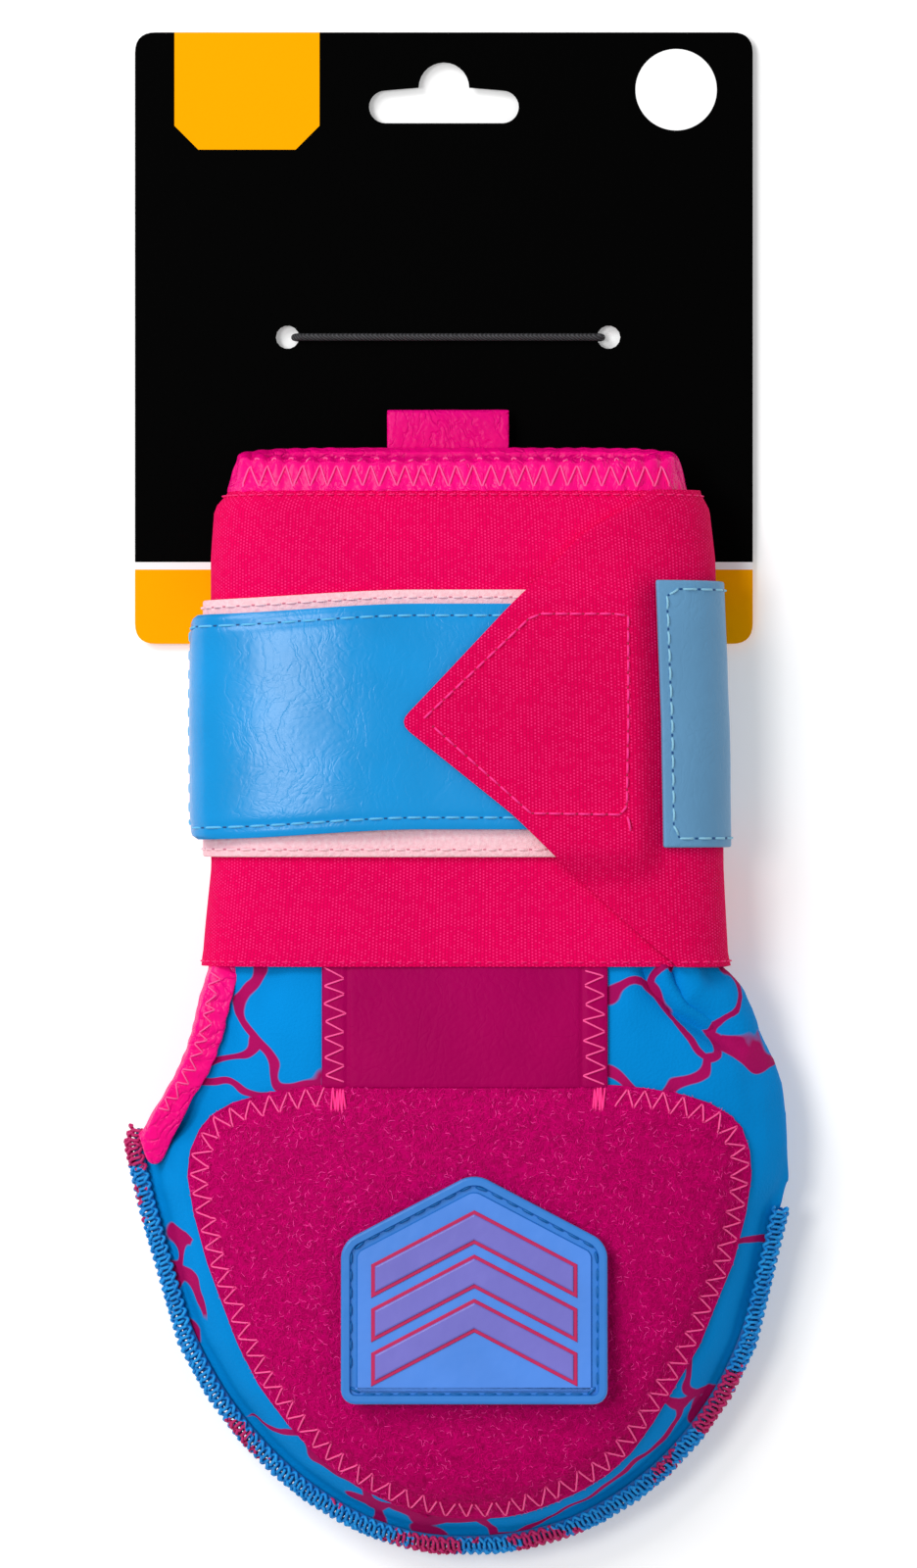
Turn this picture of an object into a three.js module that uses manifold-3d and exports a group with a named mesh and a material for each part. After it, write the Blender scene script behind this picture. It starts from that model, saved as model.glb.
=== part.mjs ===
// A youth sliding mitt for a base runner, lying palm down with its wrist on the header card it is sold on.
// Millimetres. +X is the little-finger side, +Y runs from the finger end to the wrist, +Z is up from the
// surface it lies on. The model is built from the finger end at y = 0 and moved to its centre at the end.
import * as THREE from "three";
import { mergeVertices } from "three/addons/utils/BufferGeometryUtils.js";
import Module from "manifold-3d";

const wasm = await Module();
wasm.setup();

// Padded body
const mittLength = 232; // finger-end edge to the rear lip of the wrist
const mittWidth = 140; // across the palm
const handThickness = 33; // palm to the back of the hand
const handSeamHeight = 12; // edge seam above the table
const palmSink = 3; // how far the round palm is pressed flat where it rests
const wristThickness = 22;
const wristLift = 8; // underside of the wrist above the table
const mouthThickness = 16.5; // the wrist's open end, pressed flatter
const mouthSetBack = 4.4; // front lip stops this much before the rear lip
const handWall = 6;
const wristWall = 3;
const sideWall = 8; // padding beside the hand
const toeWall = 14; // padding beyond the fingertips
const toeRise = 44; // length over which the finger end builds to full thickness
const flangeWidth = 3.2; // flat edge that the overlock seam covers
const flangeHalf = 1.3; // half the thickness of that edge

// Thumb opening
const thumbGape = 6.5; // half the height of the opening
const thumbRoundness = 0.7; // the lower, the blunter the two ends of the opening
const thumbStand = 2.5; // the thumb side stands this much above the seam
const slotEndHeight = 0.3; // half the height of the slot at its two ends
const slotEndShare = 0.3; // where its ends are, between the last row and the next
const slotBeyond = 14; // how far it is cut beyond the edge
const openingUnderBand = 3; // the opening's upper end is this far under the band
const lipThickness = 3.5;
const lipWidth = 7;
const notchGap = 2.2; // from the notch to where the thumb bindings start

// Trim
const clearance = 0.3; // between one layer and the next
const bindingThickness = 1.2;
const thumbBindingWidth = 5.6;
const mouthBindingInside = 6;
const crownInset = 0.4; // share of the binding's skin by which its crown stands off the lip
const crownRise = 0.6; // share of the skin by which the crown's corners rise
const noseShare = 0.3; // share of a thumb binding's nose where its round begins
const seamThickness = 1.1;
const seamReach = 2;
const pileThickness = 2.2;
const pileWidth = 118.6;
const pileLength = 92.5;
const pileStart = 6.4; // from the finger end to the pile panel
const pileOffset = 2.2; // panel's centre line from the body's
const pileTopWidth = 59; // straight part of the panel's top edge
const pileShoulder = 19.5;
const pileShoulderShares = [0.35, 0.62, 0.82, 0.95, 1]; // its rows
const pileToeCount = 15; // rows round its toe
const pileFirstTurn = 0.1; // angle of the first of them, in radians
const stripWidth = 60;
const stripOffset = 1;
const stripThickness = 1.2;

// Wrist closure
const bandWidth = 100; // stock elastic
const bandStart = 122.5; // finger end to the band's lower edge
const bandThickness = 1.8;
const tapeWidth = 56;
const tapeThickness = 1.3;
const strapWidth = 49;
const strapThickness = 2;
const strapCorner = 6;
const strapCornerShares = [0, 0.12, 0.4, 1]; // its rows
const closureRow = 174; // line that the strap, tape and flap's point are centred on
const flapThickness = 1.8;
const flapPoint = -11.3; // tip of the flap, from the centre line
const flapDepth = 56; // tip to where the flap is full width
const flapCurves = [1.04, 1.35]; // how much the flap's lower and upper edges bow
const flapRamp = 4.6; // length over which the flap steps down from the strap
const flapTip = 1.2; // half the width of its blunt tip
const flapRowsAt = [33, 39.5, 42.5]; // its rows near the edge, by where its edge is on the roll of the wrist
const flapSideShares = [0.4, 0.7]; // its rows beside the tape, as shares of half the tape's width
const flapOverBand = 1; // its upper end is this far over the band's
const flapEnd = 76; // where the flap is sewn down, measured round the wrist
const strapHiddenEnd = 35;
const strapEnd = -63;
const tapeEnd = -80;
const labelStart = 42.1;
const labelEnd = 74;
const labelWidth = 56;
const labelShift = 2; // its centre line from the strap's
const labelThickness = 1.4;

// Rubber patch
const patchWidth = 55.6;
const patchHeight = 48.2;
const patchEave = 14.6; // peak down to the eaves
const patchCentre = 3;
const patchStart = 32.2;
const patchBase = 1.3;
const patchRimHeight = 0.9;
const patchRimWidth = 2;
const patchGroove = 1.7;
const patchCorner = 3;
const patchFieldHeight = 0.5;
const chevronHeight = 0.7;
const chevronBand = 5.4;
const chevronPitch = 9.4;
const chevronCount = 3;
const chevronMargin = 3.4;
const chevronDrop = 2.6; // the first chevron's peak below the margin

// Pull tab
const tabWidth = 26;
const tabCentre = -2.5;
const tabReach = 9; // beyond the rear lip
const tabHeld = 6; // length sewn under the binding
const tabThickness = 1;
const tabGap = 0.6;

// Header card and what joins the mitt to it
const cardWidth = 132;
const cardHeight = 130.6;
const cardThickness = 0.6;
const cardCorner = 4.4;
const cardStart = 191.2;
const cardCentre = -3.4;
const slotWidth = 32;
const slotHeight = 7;
const slotHump = 5.4; // radius of the round rise in the middle
const slotHumpRise = 13; // from the slot's lower edge to the hump's top
const slotFromTop = 19.4;
const tieHoleSpacing = 68.6;
const tieHoleRadius = 2.5;
const tieHoleRow = 65.5; // above the card's lower edge
const tieHoleShift = 0.9;
const tieDiameter = 1.6;
const tackRadius = 0.6;
const tackBar = 7;
const tackFromEdge = 6.8; // the card's lower edge to the tack
const tackSides = 8;
const tackHoleMiddle = 7.6; // height of the middle of its hole

// Stations of the body from the widest part of the hand to the wrist's mouth.
// along: share of the mitt's length. left, right: share of half its width. wrist: 0 in the hand, 1 in the
// wrist. mouth: 1 at the open end. fold: 1 where the little-finger side is a fold and not a seam. notch: where
// the thumb opening starts.
const stations = [
  { along: 0.31, left: 0.953, right: 0.977, wrist: 0, mouth: 0, fold: 0 },
  { along: 0.331, left: 0.967, right: 0.985, wrist: 0, mouth: 0, fold: 0.5 },
  { along: 0.367, left: 0.982, right: 0.992, wrist: 0, mouth: 0, fold: 1 },
  { along: 0.382, left: 0.965, right: 0.99, wrist: 0, mouth: 0, fold: 1, notch: true },
  { along: 0.389, left: 0.934, right: 0.988, wrist: 0, mouth: 0, fold: 1 },
  { along: 0.411, left: 0.882, right: 0.976, wrist: 0.02, mouth: 0, fold: 1 },
  { along: 0.435, left: 0.829, right: 0.958, wrist: 0.06, mouth: 0, fold: 1 },
  { along: 0.462, left: 0.795, right: 0.926, wrist: 0.14, mouth: 0, fold: 1 },
  { along: 0.495, left: 0.77, right: 0.866, wrist: 0.42, mouth: 0, fold: 1 },
  { along: 0.515, left: 0.756, right: 0.815, wrist: 0.76, mouth: 0, fold: 1 },
  { along: 0.528, left: 0.748, right: 0.768, wrist: 1, mouth: 0, fold: 1 },
  { along: 0.541, left: 0.741, right: 0.755, wrist: 1, mouth: 0, fold: 1 },
  { along: 0.62, left: 0.733, right: 0.748, wrist: 1, mouth: 0, fold: 1 },
  { along: 0.75, left: 0.73, right: 0.735, wrist: 1, mouth: 0, fold: 1 },
  { along: 0.9, left: 0.722, right: 0.71, wrist: 1, mouth: 0.05, fold: 1 },
  { along: 0.945, left: 0.71, right: 0.693, wrist: 1, mouth: 0.25, fold: 1 },
  { along: 0.958, left: 0.684, right: 0.668, wrist: 1, mouth: 0.4, fold: 1 },
  { along: 1.0, left: 0.655, right: 0.642, wrist: 1, mouth: 1, fold: 1 },
];
const thumbStandStart = 0.8; // share of the widest row's distance where the stand begins
const toeLeftPower = 1.87; // how full each side of the finger end is
const toeRightPower = 2.1;

// The padding's profile across is (1 - u to the flatness) to the pinch, u running from 0 to 1 at the border.
const handFlatness = 3.2;
const handPinch = 0.6;
const wristFlatness = 7;
const wristPinch = 0.5;
const toeFlatness = 3;
const toePinch = 0.6;
const foldSharpness = 0.9; // how far the edge's thickness closes on the folded side
const lipBuild = 0.5; // share of the opening over which its lips reach full thickness
const lipSpread = 0.35; // and over which they narrow again at the band
const lipLead = 9; // the border starts to widen this far before the notch

// Soft creases pressed into the back of the hand where the band gathers it.
// across: share of half the width. along: share of the length. depth, reach: share of the hand's thickness.
const creases = [
  { across: 0.69, along: 0.52, toAcross: 0.8, toAlong: 0.478, depth: 0.1, reach: 0.1 },
  { across: 0.8, along: 0.478, toAcross: 0.91, toAlong: 0.44, depth: 0.06, reach: 0.09 },
];

// Where the finger end has its sections, as shares of the distance from the tip to the widest part.
const toeShares = [0.0043, 0.019, 0.044, 0.062, 0.095, 0.155, 0.23, 0.325, 0.45, 0.6, 0.79, 1];
const bodyColumnCount = 16;
const openingStepCount = 7;
const minRowGap = 1.5;
const longRow = 40;
const minColumnGap = 0.3; // share of a column
const bandRoomDepth = 4;
const bandRoomStart = 0.02; // the cut for the band starts just off the wrist's surface
const hollowEnd = 1.02; // the hollow is cut this far, as a share of the length
const slantLimit = 1.5; // share of the slant at which it stops growing
const leastPadding = 0.1; // a section narrower than this has none
const slopeStep = 0.05;
const turnStep = 0.01;
const surfaceStep = 0.4;
const rowMargin = 1;
const patchStepCount = 12;

const lerp = (a, b, share) => a + (b - a) * share;
const clamp = (value, low, high) => Math.min(high, Math.max(low, value));
const smooth = (value, from, to) => {
  const share = clamp((value - from) / (to - from), 0, 1);
  return share * share * (3 - 2 * share);
};

// Value of one column of the stations at a distance from the finger end.
function station(column, y) {
  const along = y / mittLength;
  const above = stations.findIndex((row) => row.along >= along);
  if (above === 0) return stations[0][column];
  if (above < 0) return stations[stations.length - 1][column];
  const [low, high] = [stations[above - 1], stations[above]];
  return lerp(low[column], high[column], (along - low.along) / (high.along - low.along));
}

const widestRow = stations[0].along * mittLength;
const notchRow = stations.find((row) => row.notch).along * mittLength; // lower end of the thumb opening
const openingEnd = bandStart + openingUnderBand;
const firstBound = notchRow + notchGap;
const openingRows = [
  notchRow,
  ...Array.from({ length: openingStepCount + 1 }, (_, i) =>
    firstBound + ((bandStart - clearance - firstBound) * i) / openingStepCount),
  openingEnd,
];

// How open the thumb side is, from 0 at the seam to 1.
function thumb(y) {
  const share = (y - notchRow) / (openingEnd - notchRow);
  return share <= 0 || share >= 1 ? 0 : Math.sin(Math.PI * share) ** thumbRoundness;
}

// Distance from the centre line to the body's edge at y, set in by the walls when it is the hollow's.
function reach(side, y, inside) {
  const wall = inside ? lerp(sideWall, wristWall, station("wrist", y)) : 0;
  const full = (station(side, y) * mittWidth) / 2 - wall;
  const share = clamp((widestRow - y) / (widestRow - (inside ? toeWall : 0)), 0, 1);
  const power = side === "left" ? toeLeftPower : toeRightPower;
  return full * (1 - share ** power) ** (1 / power);
}

// Width in x of a border that is measured square to the edge.
function border(side, y, width) {
  const rise = reach(side, y + slopeStep, false) - reach(side, y - slopeStep, false);
  const slope = rise / (2 * slopeStep);
  return width * Math.hypot(1, slope);
}

// Section of the body at y. A layer that lies inside it is set in by the walls.
function section(y, inside = false) {
  const wrist = station("wrist", y);
  const mouth = station("mouth", y);
  const toe = inside ? toeWall : 0;
  const wall = inside ? lerp(handWall, wristWall, wrist) : 0;
  const left = reach("left", y, inside);
  const right = reach("right", y, inside);
  const seam = lerp(handSeamHeight, wristLift + wristThickness / 2, wrist) + thumbRise(y);
  const squeeze = (mouth * (wristThickness - mouthThickness)) / 2;
  const high = lerp(handThickness, wristLift + wristThickness, wrist) - squeeze - wall;
  const low = lerp(-palmSink, wristLift, wrist) + squeeze;
  const open = thumb(y);
  const fold = station("fold", y);
  const seamEdge = lerp(flangeHalf, 0, wrist);
  const lip = inside ? 0 : lipThickness;
  const flangeStart = toe + (inside ? 0 : flangeWidth);
  const climb = clamp((flangeStart + toeRise - y) / toeRise, 0, 1);
  return {
    left: -left,
    right,
    seam,
    high,
    low: inside ? Math.max(low, 0) + wall : low,
    leftEdge: inside
      ? Math.max(thumbGape * open, seamEdge)
      : lerp(seamEdge, thumbGape * open + lip, smooth(open, 0, lipBuild)),
    rightEdge: seamEdge * (1 - fold * foldSharpness),
    leftFlange: inside
      ? 0
      : border("left", y, lerp(flangeWidth * (1 - wrist), lipWidth, lipShare(y, open))),
    rightFlange: inside ? 0 : border("right", y, flangeWidth) * (1 - fold),
    flatness: lerp(handFlatness, wristFlatness, wrist),
    pinch: lerp(handPinch, wristPinch, wrist),
    toe: y < flangeStart ? 0 : (1 - climb ** toeFlatness) ** toePinch,
  };
}

// How far the edge's flat border has widened to that of the opening's lips.
function lipShare(y, open) {
  if (y > (notchRow + openingEnd) / 2) return smooth(open, 0, lipSpread);
  return smooth(y, notchRow - lipLead, notchRow + lipLead / 2);
}

// The open thumb side stands a little higher than the seam does.
function thumbRise(y) {
  return thumbStand * smooth(y, widestRow * thumbStandStart, notchRow) * (1 - station("wrist", y));
}

// Where the padding of a section starts and ends, inside its flat borders.
function raised(part) {
  const from = part.left + part.leftFlange;
  const to = part.right - part.rightFlange;
  return from < to ? [from, to] : [middle(part), middle(part)];
}

// Height of the bulge at x, as a share of its full height.
function bulge(part, x) {
  const [from, to] = raised(part);
  if (to - from < leastPadding) return 0;
  const across = clamp(Math.abs((2 * (x - from)) / (to - from) - 1), 0, 1);
  return (1 - across ** part.flatness) ** part.pinch;
}

function creaseDepth(x, y) {
  let depth = 0;
  for (const fold of creases) {
    const start = new THREE.Vector2((fold.across * mittWidth) / 2, fold.along * mittLength);
    const end = new THREE.Vector2((fold.toAcross * mittWidth) / 2, fold.toAlong * mittLength);
    const run = end.clone().sub(start);
    const share = clamp(new THREE.Vector2(x, y).sub(start).dot(run) / run.lengthSq(), 0, 1);
    const distance = start.addScaledVector(run, share).distanceTo(new THREE.Vector2(x, y));
    const reach = fold.reach * handThickness;
    depth = Math.max(depth, fold.depth * handThickness * Math.exp(-((distance / reach) ** 2)));
  }
  return depth;
}

const middle = (part) => (part.left + part.right) / 2;
const edgeAt = (part, x) => (x < middle(part) ? part.leftEdge : part.rightEdge);

function upper(part, x, y) {
  const edge = edgeAt(part, x);
  const rise = (part.high - part.seam - edge) * bulge(part, x) * part.toe;
  return part.seam + edge + rise - creaseDepth(x, y) * (part.inset ? 0 : 1);
}

function lower(part, x) {
  const edge = edgeAt(part, x);
  const fall = (part.seam - edge - part.low) * bulge(part, x) * part.toe;
  return Math.max(part.seam - edge - fall, part.floor ?? 0);
}

// Closed solid through loops of points. A loop runs out along one face and back along the other, so point
// i lies across from the last point less i. The ends are closed, or joined when the loops run in a ring.
function sweep(loops, ring = false) {
  const size = loops[0].length;
  const points = loops.flat().flatMap((point) => [point.x, point.y, point.z]);
  const faces = [];
  const quad = (a, b, c, d) => faces.push(a, b, c, a, c, d);
  const steps = ring ? loops.length : loops.length - 1;
  for (let row = 0; row < steps; row++) {
    const next = (row + 1) % loops.length;
    for (let i = 0; i < size; i++) {
      const j = (i + 1) % size;
      quad(row * size + i, row * size + j, next * size + j, next * size + i);
    }
  }
  if (!ring) {
    const last = (loops.length - 1) * size;
    for (let i = 0; i < size / 2 - 1; i++) {
      quad(i, size - 1 - i, size - 2 - i, i + 1);
      quad(last + i, last + i + 1, last + size - 2 - i, last + size - 1 - i);
    }
  }
  const geometry = new THREE.BufferGeometry();
  geometry.setAttribute("position", new THREE.Float32BufferAttribute(points, 3));
  geometry.setIndex(faces);
  return geometry;
}

// Solid of a closed mesh, with its faces turned outwards.
function solid(geometry) {
  const bare = geometry.clone();
  bare.deleteAttribute("normal");
  bare.deleteAttribute("uv");
  const merged = mergeVertices(bare, 1e-3);
  const corner = merged.index.array;
  const kept = [];
  for (let i = 0; i < corner.length; i += 3) {
    const [a, b, c] = [corner[i], corner[i + 1], corner[i + 2]];
    if (a !== b && b !== c && c !== a) kept.push(a, b, c);
  }
  const vertProperties = merged.attributes.position.array;
  const make = (triVerts) => new wasm.Manifold(new wasm.Mesh({ numProp: 3, vertProperties, triVerts }));
  const made = make(new Uint32Array(kept));
  return made.volume() > 0 ? made : make(new Uint32Array(kept.reverse()));
}

function geometryOf(made) {
  const { numProp, numVert, vertProperties, triVerts } = made.getMesh();
  const points = new Float32Array(numVert * 3);
  for (let i = 0; i < numVert; i++) {
    points.set(vertProperties.subarray(i * numProp, i * numProp + 3), i * 3);
  }
  const geometry = new THREE.BufferGeometry();
  geometry.setAttribute("position", new THREE.BufferAttribute(points, 3));
  geometry.setIndex(new THREE.BufferAttribute(triVerts, 1));
  return geometry;
}

// Distances from the finger end where the body, and what lies on it, has a section.
function bodyRows(from, shares = toeShares) {
  const toe = shares.map((share) => lerp(from, widestRow, share));
  const rest = stations.slice(1).flatMap((row, i) => {
    const before = stations[i].along;
    const count = (row.along - before) * mittLength > longRow ? 2 : 1;
    return Array.from({ length: count }, (_, k) => lerp(before, row.along, (k + 1) / count) * mittLength);
  });
  const clear = rest.filter((y) => y < notchRow - minRowGap || y > openingEnd + minRowGap);
  return [...toe, ...openingRows, ...clear].sort((a, b) => a - b);
}

// One loop of the body: along the upper side from left to right and back along the lower side.
function bodyLoop(y, inside, columns) {
  const part = section(y, inside);
  part.inset = inside;
  part.floor = inside ? part.low : 0;
  const [from, to] = raised(part);
  const across = [part.left];
  for (let i = 0; i <= columns; i++) across.push(lerp(from, to, (1 - Math.cos((Math.PI * i) / columns)) / 2));
  across.push(part.right);
  const top = across.map((x) => new THREE.Vector3(x, slanted(y, upper(part, x, y)), upper(part, x, y)));
  const bottom = across.map((x) => new THREE.Vector3(x, slanted(y, lower(part, x)), lower(part, x)));
  return [...top, ...bottom.reverse()];
}

// Above the band the mouth slants, so that the front lip stops before the rear one.
const bandEnd = bandStart + bandWidth;
function slanted(y, z) {
  const share = clamp((y - bandEnd) / (mittLength - bandEnd), 0, slantLimit);
  return y - share * mouthSetBack * clamp((z - wristLift) / wristThickness, 0, 1);
}

const group = new THREE.Group();
function add(name, made, material) {
  const mesh = new THREE.Mesh(geometryOf(made), material);
  mesh.name = name;
  group.add(mesh);
}

const finish = (color, roughness, metalness = 0) =>
  new THREE.MeshStandardMaterial({ color, roughness, metalness });
const bluePrint = finish(0x018dda, 0.75);
const pinkLeather = finish(0xe8057d, 0.4);
const pinkElastic = finish(0xe00356, 0.85);
const blueLeather = finish(0x018bd2, 0.35);
const paleLeather = finish(0x5282a5, 0.45);
const paleLoop = finish(0xf7c4cf, 0.95);
const pileFabric = finish(0xb80262, 0.95);
const darkLeather = finish(0x9e0254, 0.5);
const rubber = finish(0x4a86dc, 0.45);
const thread = finish(0x1590cc, 0.7);
const cardBoard = finish(0x0c0c0c, 0.5);
const cordBlack = finish(0x101010, 0.6);
const clearPlastic = finish(0xd8d8d8, 0.4);

// Hole for the tack, straight up through the card, the band and the rear wall.
const tackRow = cardStart + tackFromEdge;
const tackHoleRadius = tackRadius + clearance;
const tackHole = new THREE.CylinderGeometry(tackHoleRadius, tackHoleRadius, 2 * wristLift, tackSides);
tackHole.rotateX(Math.PI / 2);
tackHole.translate(0, tackRow, tackHoleMiddle);
const tackCut = solid(tackHole);

// Padded body: an envelope folded on the little-finger side, open at the wrist and at the thumb.
function paddedBody() {
  const outside = solid(sweep(bodyRows(0).map((y) => bodyLoop(y, false, bodyColumnCount))));
  const everyOther = toeShares.filter((_, i) => i % 2 === 1);
  const insideRows = bodyRows(toeWall, everyOther).concat(mittLength * hollowEnd);
  const hollow = solid(sweep(insideRows.map((y) => bodyLoop(y, true, bodyColumnCount))));
  const roomRows = [bandStart - 2 * clearance, bandStart, openingEnd, openingEnd + bandRoomDepth];
  const bandRoom = ring(roomRows, bandRoomStart, bandRoomDepth);
  return outside.subtract(bandRoom).subtract(hollow).subtract(solid(thumbSlot())).subtract(tackCut);
}

// The slot that opens the thumb side into the hollow.
function thumbSlot() {
  const rows = openingRows.slice(1, -1);
  const last = rows[rows.length - 1];
  const ends = [lerp(notchRow, rows[0], slotEndShare), lerp(openingEnd, last, slotEndShare)];
  const loops = [ends[0], ...rows, ends[1]].map((y) => {
    const part = section(y);
    const gape = y === ends[0] || y === ends[1] ? slotEndHeight : thumbGape * thumb(y);
    const far = part.left - slotBeyond;
    const near = part.left + sideWall + lipWidth;
    const corner = (x, z) => new THREE.Vector3(x, y, part.seam + z);
    return [corner(far, gape), corner(near, gape), corner(near, -gape), corner(far, -gape)];
  });
  return sweep(loops);
}

// Point on the body's loop at y, at an angle round it, moved out by a distance along its normal.
// The angle is 0 at the little-finger side and a quarter turn in the middle of the front.
function around(angle, y, out, inside = false) {
  const part = section(y, inside);
  part.inset = inside;
  part.floor = inside ? part.low : 0;
  const point = (turn) => {
    const x = middle(part) + ((part.right - part.left) / 2) * Math.cos(turn);
    return new THREE.Vector2(x, Math.sin(turn) >= 0 ? upper(part, x, y) : lower(part, x));
  };
  const here = point(angle);
  const tangent = point(angle + turnStep).sub(point(angle - turnStep)).normalize();
  here.x += tangent.y * out;
  here.y -= tangent.x * out;
  return new THREE.Vector3(here.x, slanted(y, here.y), here.y);
}

// Angle round the wrist for a distance along its surface from the middle of the front.
const girthSteps = 720;
const girth = [0];
for (let i = 1; i <= girthSteps; i++) {
  const at = (k) => around(Math.PI / 2 - (Math.PI * k) / girthSteps, closureRow, 0);
  girth.push(girth[i - 1] + at(i).distanceTo(at(i - 1)));
}
function angleAt(distance) {
  const reach = Math.abs(distance);
  const above = clamp(girth.findIndex((length) => length >= reach), 1, girthSteps);
  const share = clamp((reach - girth[above - 1]) / (girth[above] - girth[above - 1]), 0, 1);
  return Math.PI / 2 - (Math.sign(distance) * Math.PI * (above - 1 + share)) / girthSteps;
}

const wristRows = (from, to) => [
  from,
  ...stations.map((row) => row.along * mittLength).filter((y) => y > from + rowMargin && y < to - rowMargin),
  to,
];

// Ring round the wrist between two distances from the body.
function ring(rows, low, high) {
  const loops = Array.from({ length: 2 * bodyColumnCount }, (_, i) => {
    const angle = (Math.PI * i) / bodyColumnCount;
    const outer = rows.map((y) => around(angle, y, high));
    const inner = rows.map((y) => around(angle, y, low));
    return [...outer, ...inner.reverse()];
  });
  return solid(sweep(loops, true));
}

// Elastic band: a closed ring, its lower edge flared over the padding.
function elasticBand() {
  const rows = [bandStart, openingEnd, ...wristRows(openingEnd, bandEnd).slice(1)];
  return ring(rows, clearance, clearance + bandThickness).subtract(tackCut);
}

// A layer wrapped on the wrist. Each row gives where it starts and ends round the wrist, and low says how
// high its underside is above the body. Its columns are those of the band below, and any stops of its own.
const columnAngle = Math.PI / bodyColumnCount;
function wrapped(rows, span, low, thickness, stops = []) {
  const first = angleAt(Math.min(...rows.map((y) => span(y)[0])));
  const last = angleAt(span(rows[0])[1]);
  const least = minColumnGap * columnAngle;
  const near = (angle) => [first, last, ...stops].some((stop) => Math.abs(angle - stop) < least);
  const shared = [...stops];
  for (let angle = Math.floor(first / columnAngle) * columnAngle; angle > last; angle -= columnAngle) {
    if (!near(angle)) shared.push(angle);
  }
  shared.sort((a, b) => b - a);
  const loops = rows.map((y) => {
    const start = angleAt(span(y)[0]);
    const angles = [start, ...shared.map((angle) => Math.min(angle, start)), last];
    const face = (extra) => angles.map((angle) => around(angle, y, low(angle, y) + extra));
    return [...face(thickness), ...face(0).reverse()];
  });
  return sweep(loops);
}

const onBand = bandThickness + 2 * clearance;
const onTape = onBand + tapeThickness + clearance;
const onStrap = onTape + strapThickness + clearance;

function loopTape() {
  const rows = wristRows(closureRow - tapeWidth / 2, closureRow + tapeWidth / 2);
  return wrapped(rows, () => [tapeEnd, strapHiddenEnd], () => onBand, tapeThickness);
}

// Closure strap with two round corners at its free end.
function closureStrap() {
  const low = closureRow - strapWidth / 2;
  const high = closureRow + strapWidth / 2;
  const corner = strapCornerShares.map((share) => share * strapCorner);
  const rows = [...corner.map((y) => low + y), closureRow, ...corner.map((y) => high - y).reverse()];
  const span = (y) => {
    const into = clamp(strapCorner - Math.min(y - low, high - y), 0, strapCorner);
    return [strapEnd + strapCorner - Math.sqrt(strapCorner ** 2 - into ** 2), strapHiddenEnd];
  };
  return wrapped(rows, span, () => onTape, strapThickness);
}

// Pointed flap: lies on the band, and steps up over the end of the strap.
function pointedFlap() {
  const rampStart = strapHiddenEnd + 2 * clearance;
  const rampAngles = [angleAt(rampStart), angleAt(rampStart + flapRamp)];
  const ends = [bandStart, bandEnd + flapOverBand];
  const lift = [closureRow - tapeWidth / 2 - clearance, closureRow + tapeWidth / 2 + clearance];
  const low = (angle, y) => {
    const across = clamp((angle - rampAngles[1]) / (rampAngles[0] - rampAngles[1]), 0, 1);
    const below = smooth(y, lift[0] - flapRamp, lift[0]);
    const above = 1 - smooth(y, lift[1], lift[1] + flapRamp);
    return lerp(onBand, onStrap, across * below * above);
  };
  const span = (y) => {
    const i = y < closureRow ? 0 : 1;
    const share = (y - closureRow) / (ends[i] - closureRow);
    return [flapPoint + flapDepth * share ** flapCurves[i], flapEnd];
  };
  const edgeRow = (distance, i) =>
    lerp(closureRow, ends[i], ((distance - flapPoint) / flapDepth) ** (1 / flapCurves[i]));
  const sides = [0, 1].flatMap((i) => [
    closureRow + (i ? flapTip : -flapTip), ...flapSideShares.map((share) => lerp(closureRow, lift[i], share)),
    lift[i], lerp(lift[i], ends[i], flapRamp / Math.abs(ends[i] - lift[i])),
    ...flapRowsAt.map((distance) => edgeRow(distance, i)), ends[i],
  ]);
  const rows = [...new Set(sides)].sort((a, b) => a - b);
  return wrapped(rows, span, low, flapThickness, rampAngles);
}

function sideLabel() {
  const centreRow = closureRow + labelShift;
  const rows = wristRows(centreRow - labelWidth / 2, centreRow + labelWidth / 2);
  const low = onBand + flapThickness + clearance;
  return wrapped(rows, () => [labelStart, labelEnd], () => low, labelThickness);
}

// Bound edge of the wrist's mouth: a channel that holds the lip, down to the band outside.
function mouthBinding() {
  const foot = bandEnd + clearance;
  const skin = clearance + bindingThickness;
  const loops = Array.from({ length: 2 * bodyColumnCount }, (_, i) => {
    const angle = (Math.PI * i) / bodyColumnCount;
    const inside = (y, out) => around(angle, y, -out, true);
    const crown = (share, rise) => {
      const [a, b] = [around(angle, mittLength, skin * crownInset), inside(mittLength, skin * crownInset)];
      const point = a.lerp(b, share);
      point.y += rise;
      return point;
    };
    const outer = [
      around(angle, foot, skin), around(angle, mittLength, skin), crown(0.5, skin),
      inside(mittLength, skin), inside(mittLength - mouthBindingInside, skin),
    ];
    const inner = [
      around(angle, foot, clearance), around(angle, mittLength, clearance), crown(0.5, clearance),
      inside(mittLength, clearance), inside(mittLength - mouthBindingInside, clearance),
    ];
    inner[1].y += clearance;
    inner[3].y += clearance;
    outer[1].y += skin * crownRise;
    outer[3].y += skin * crownRise;
    return [...outer, ...inner.reverse()];
  });
  return sweep(loops, true);
}

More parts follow.
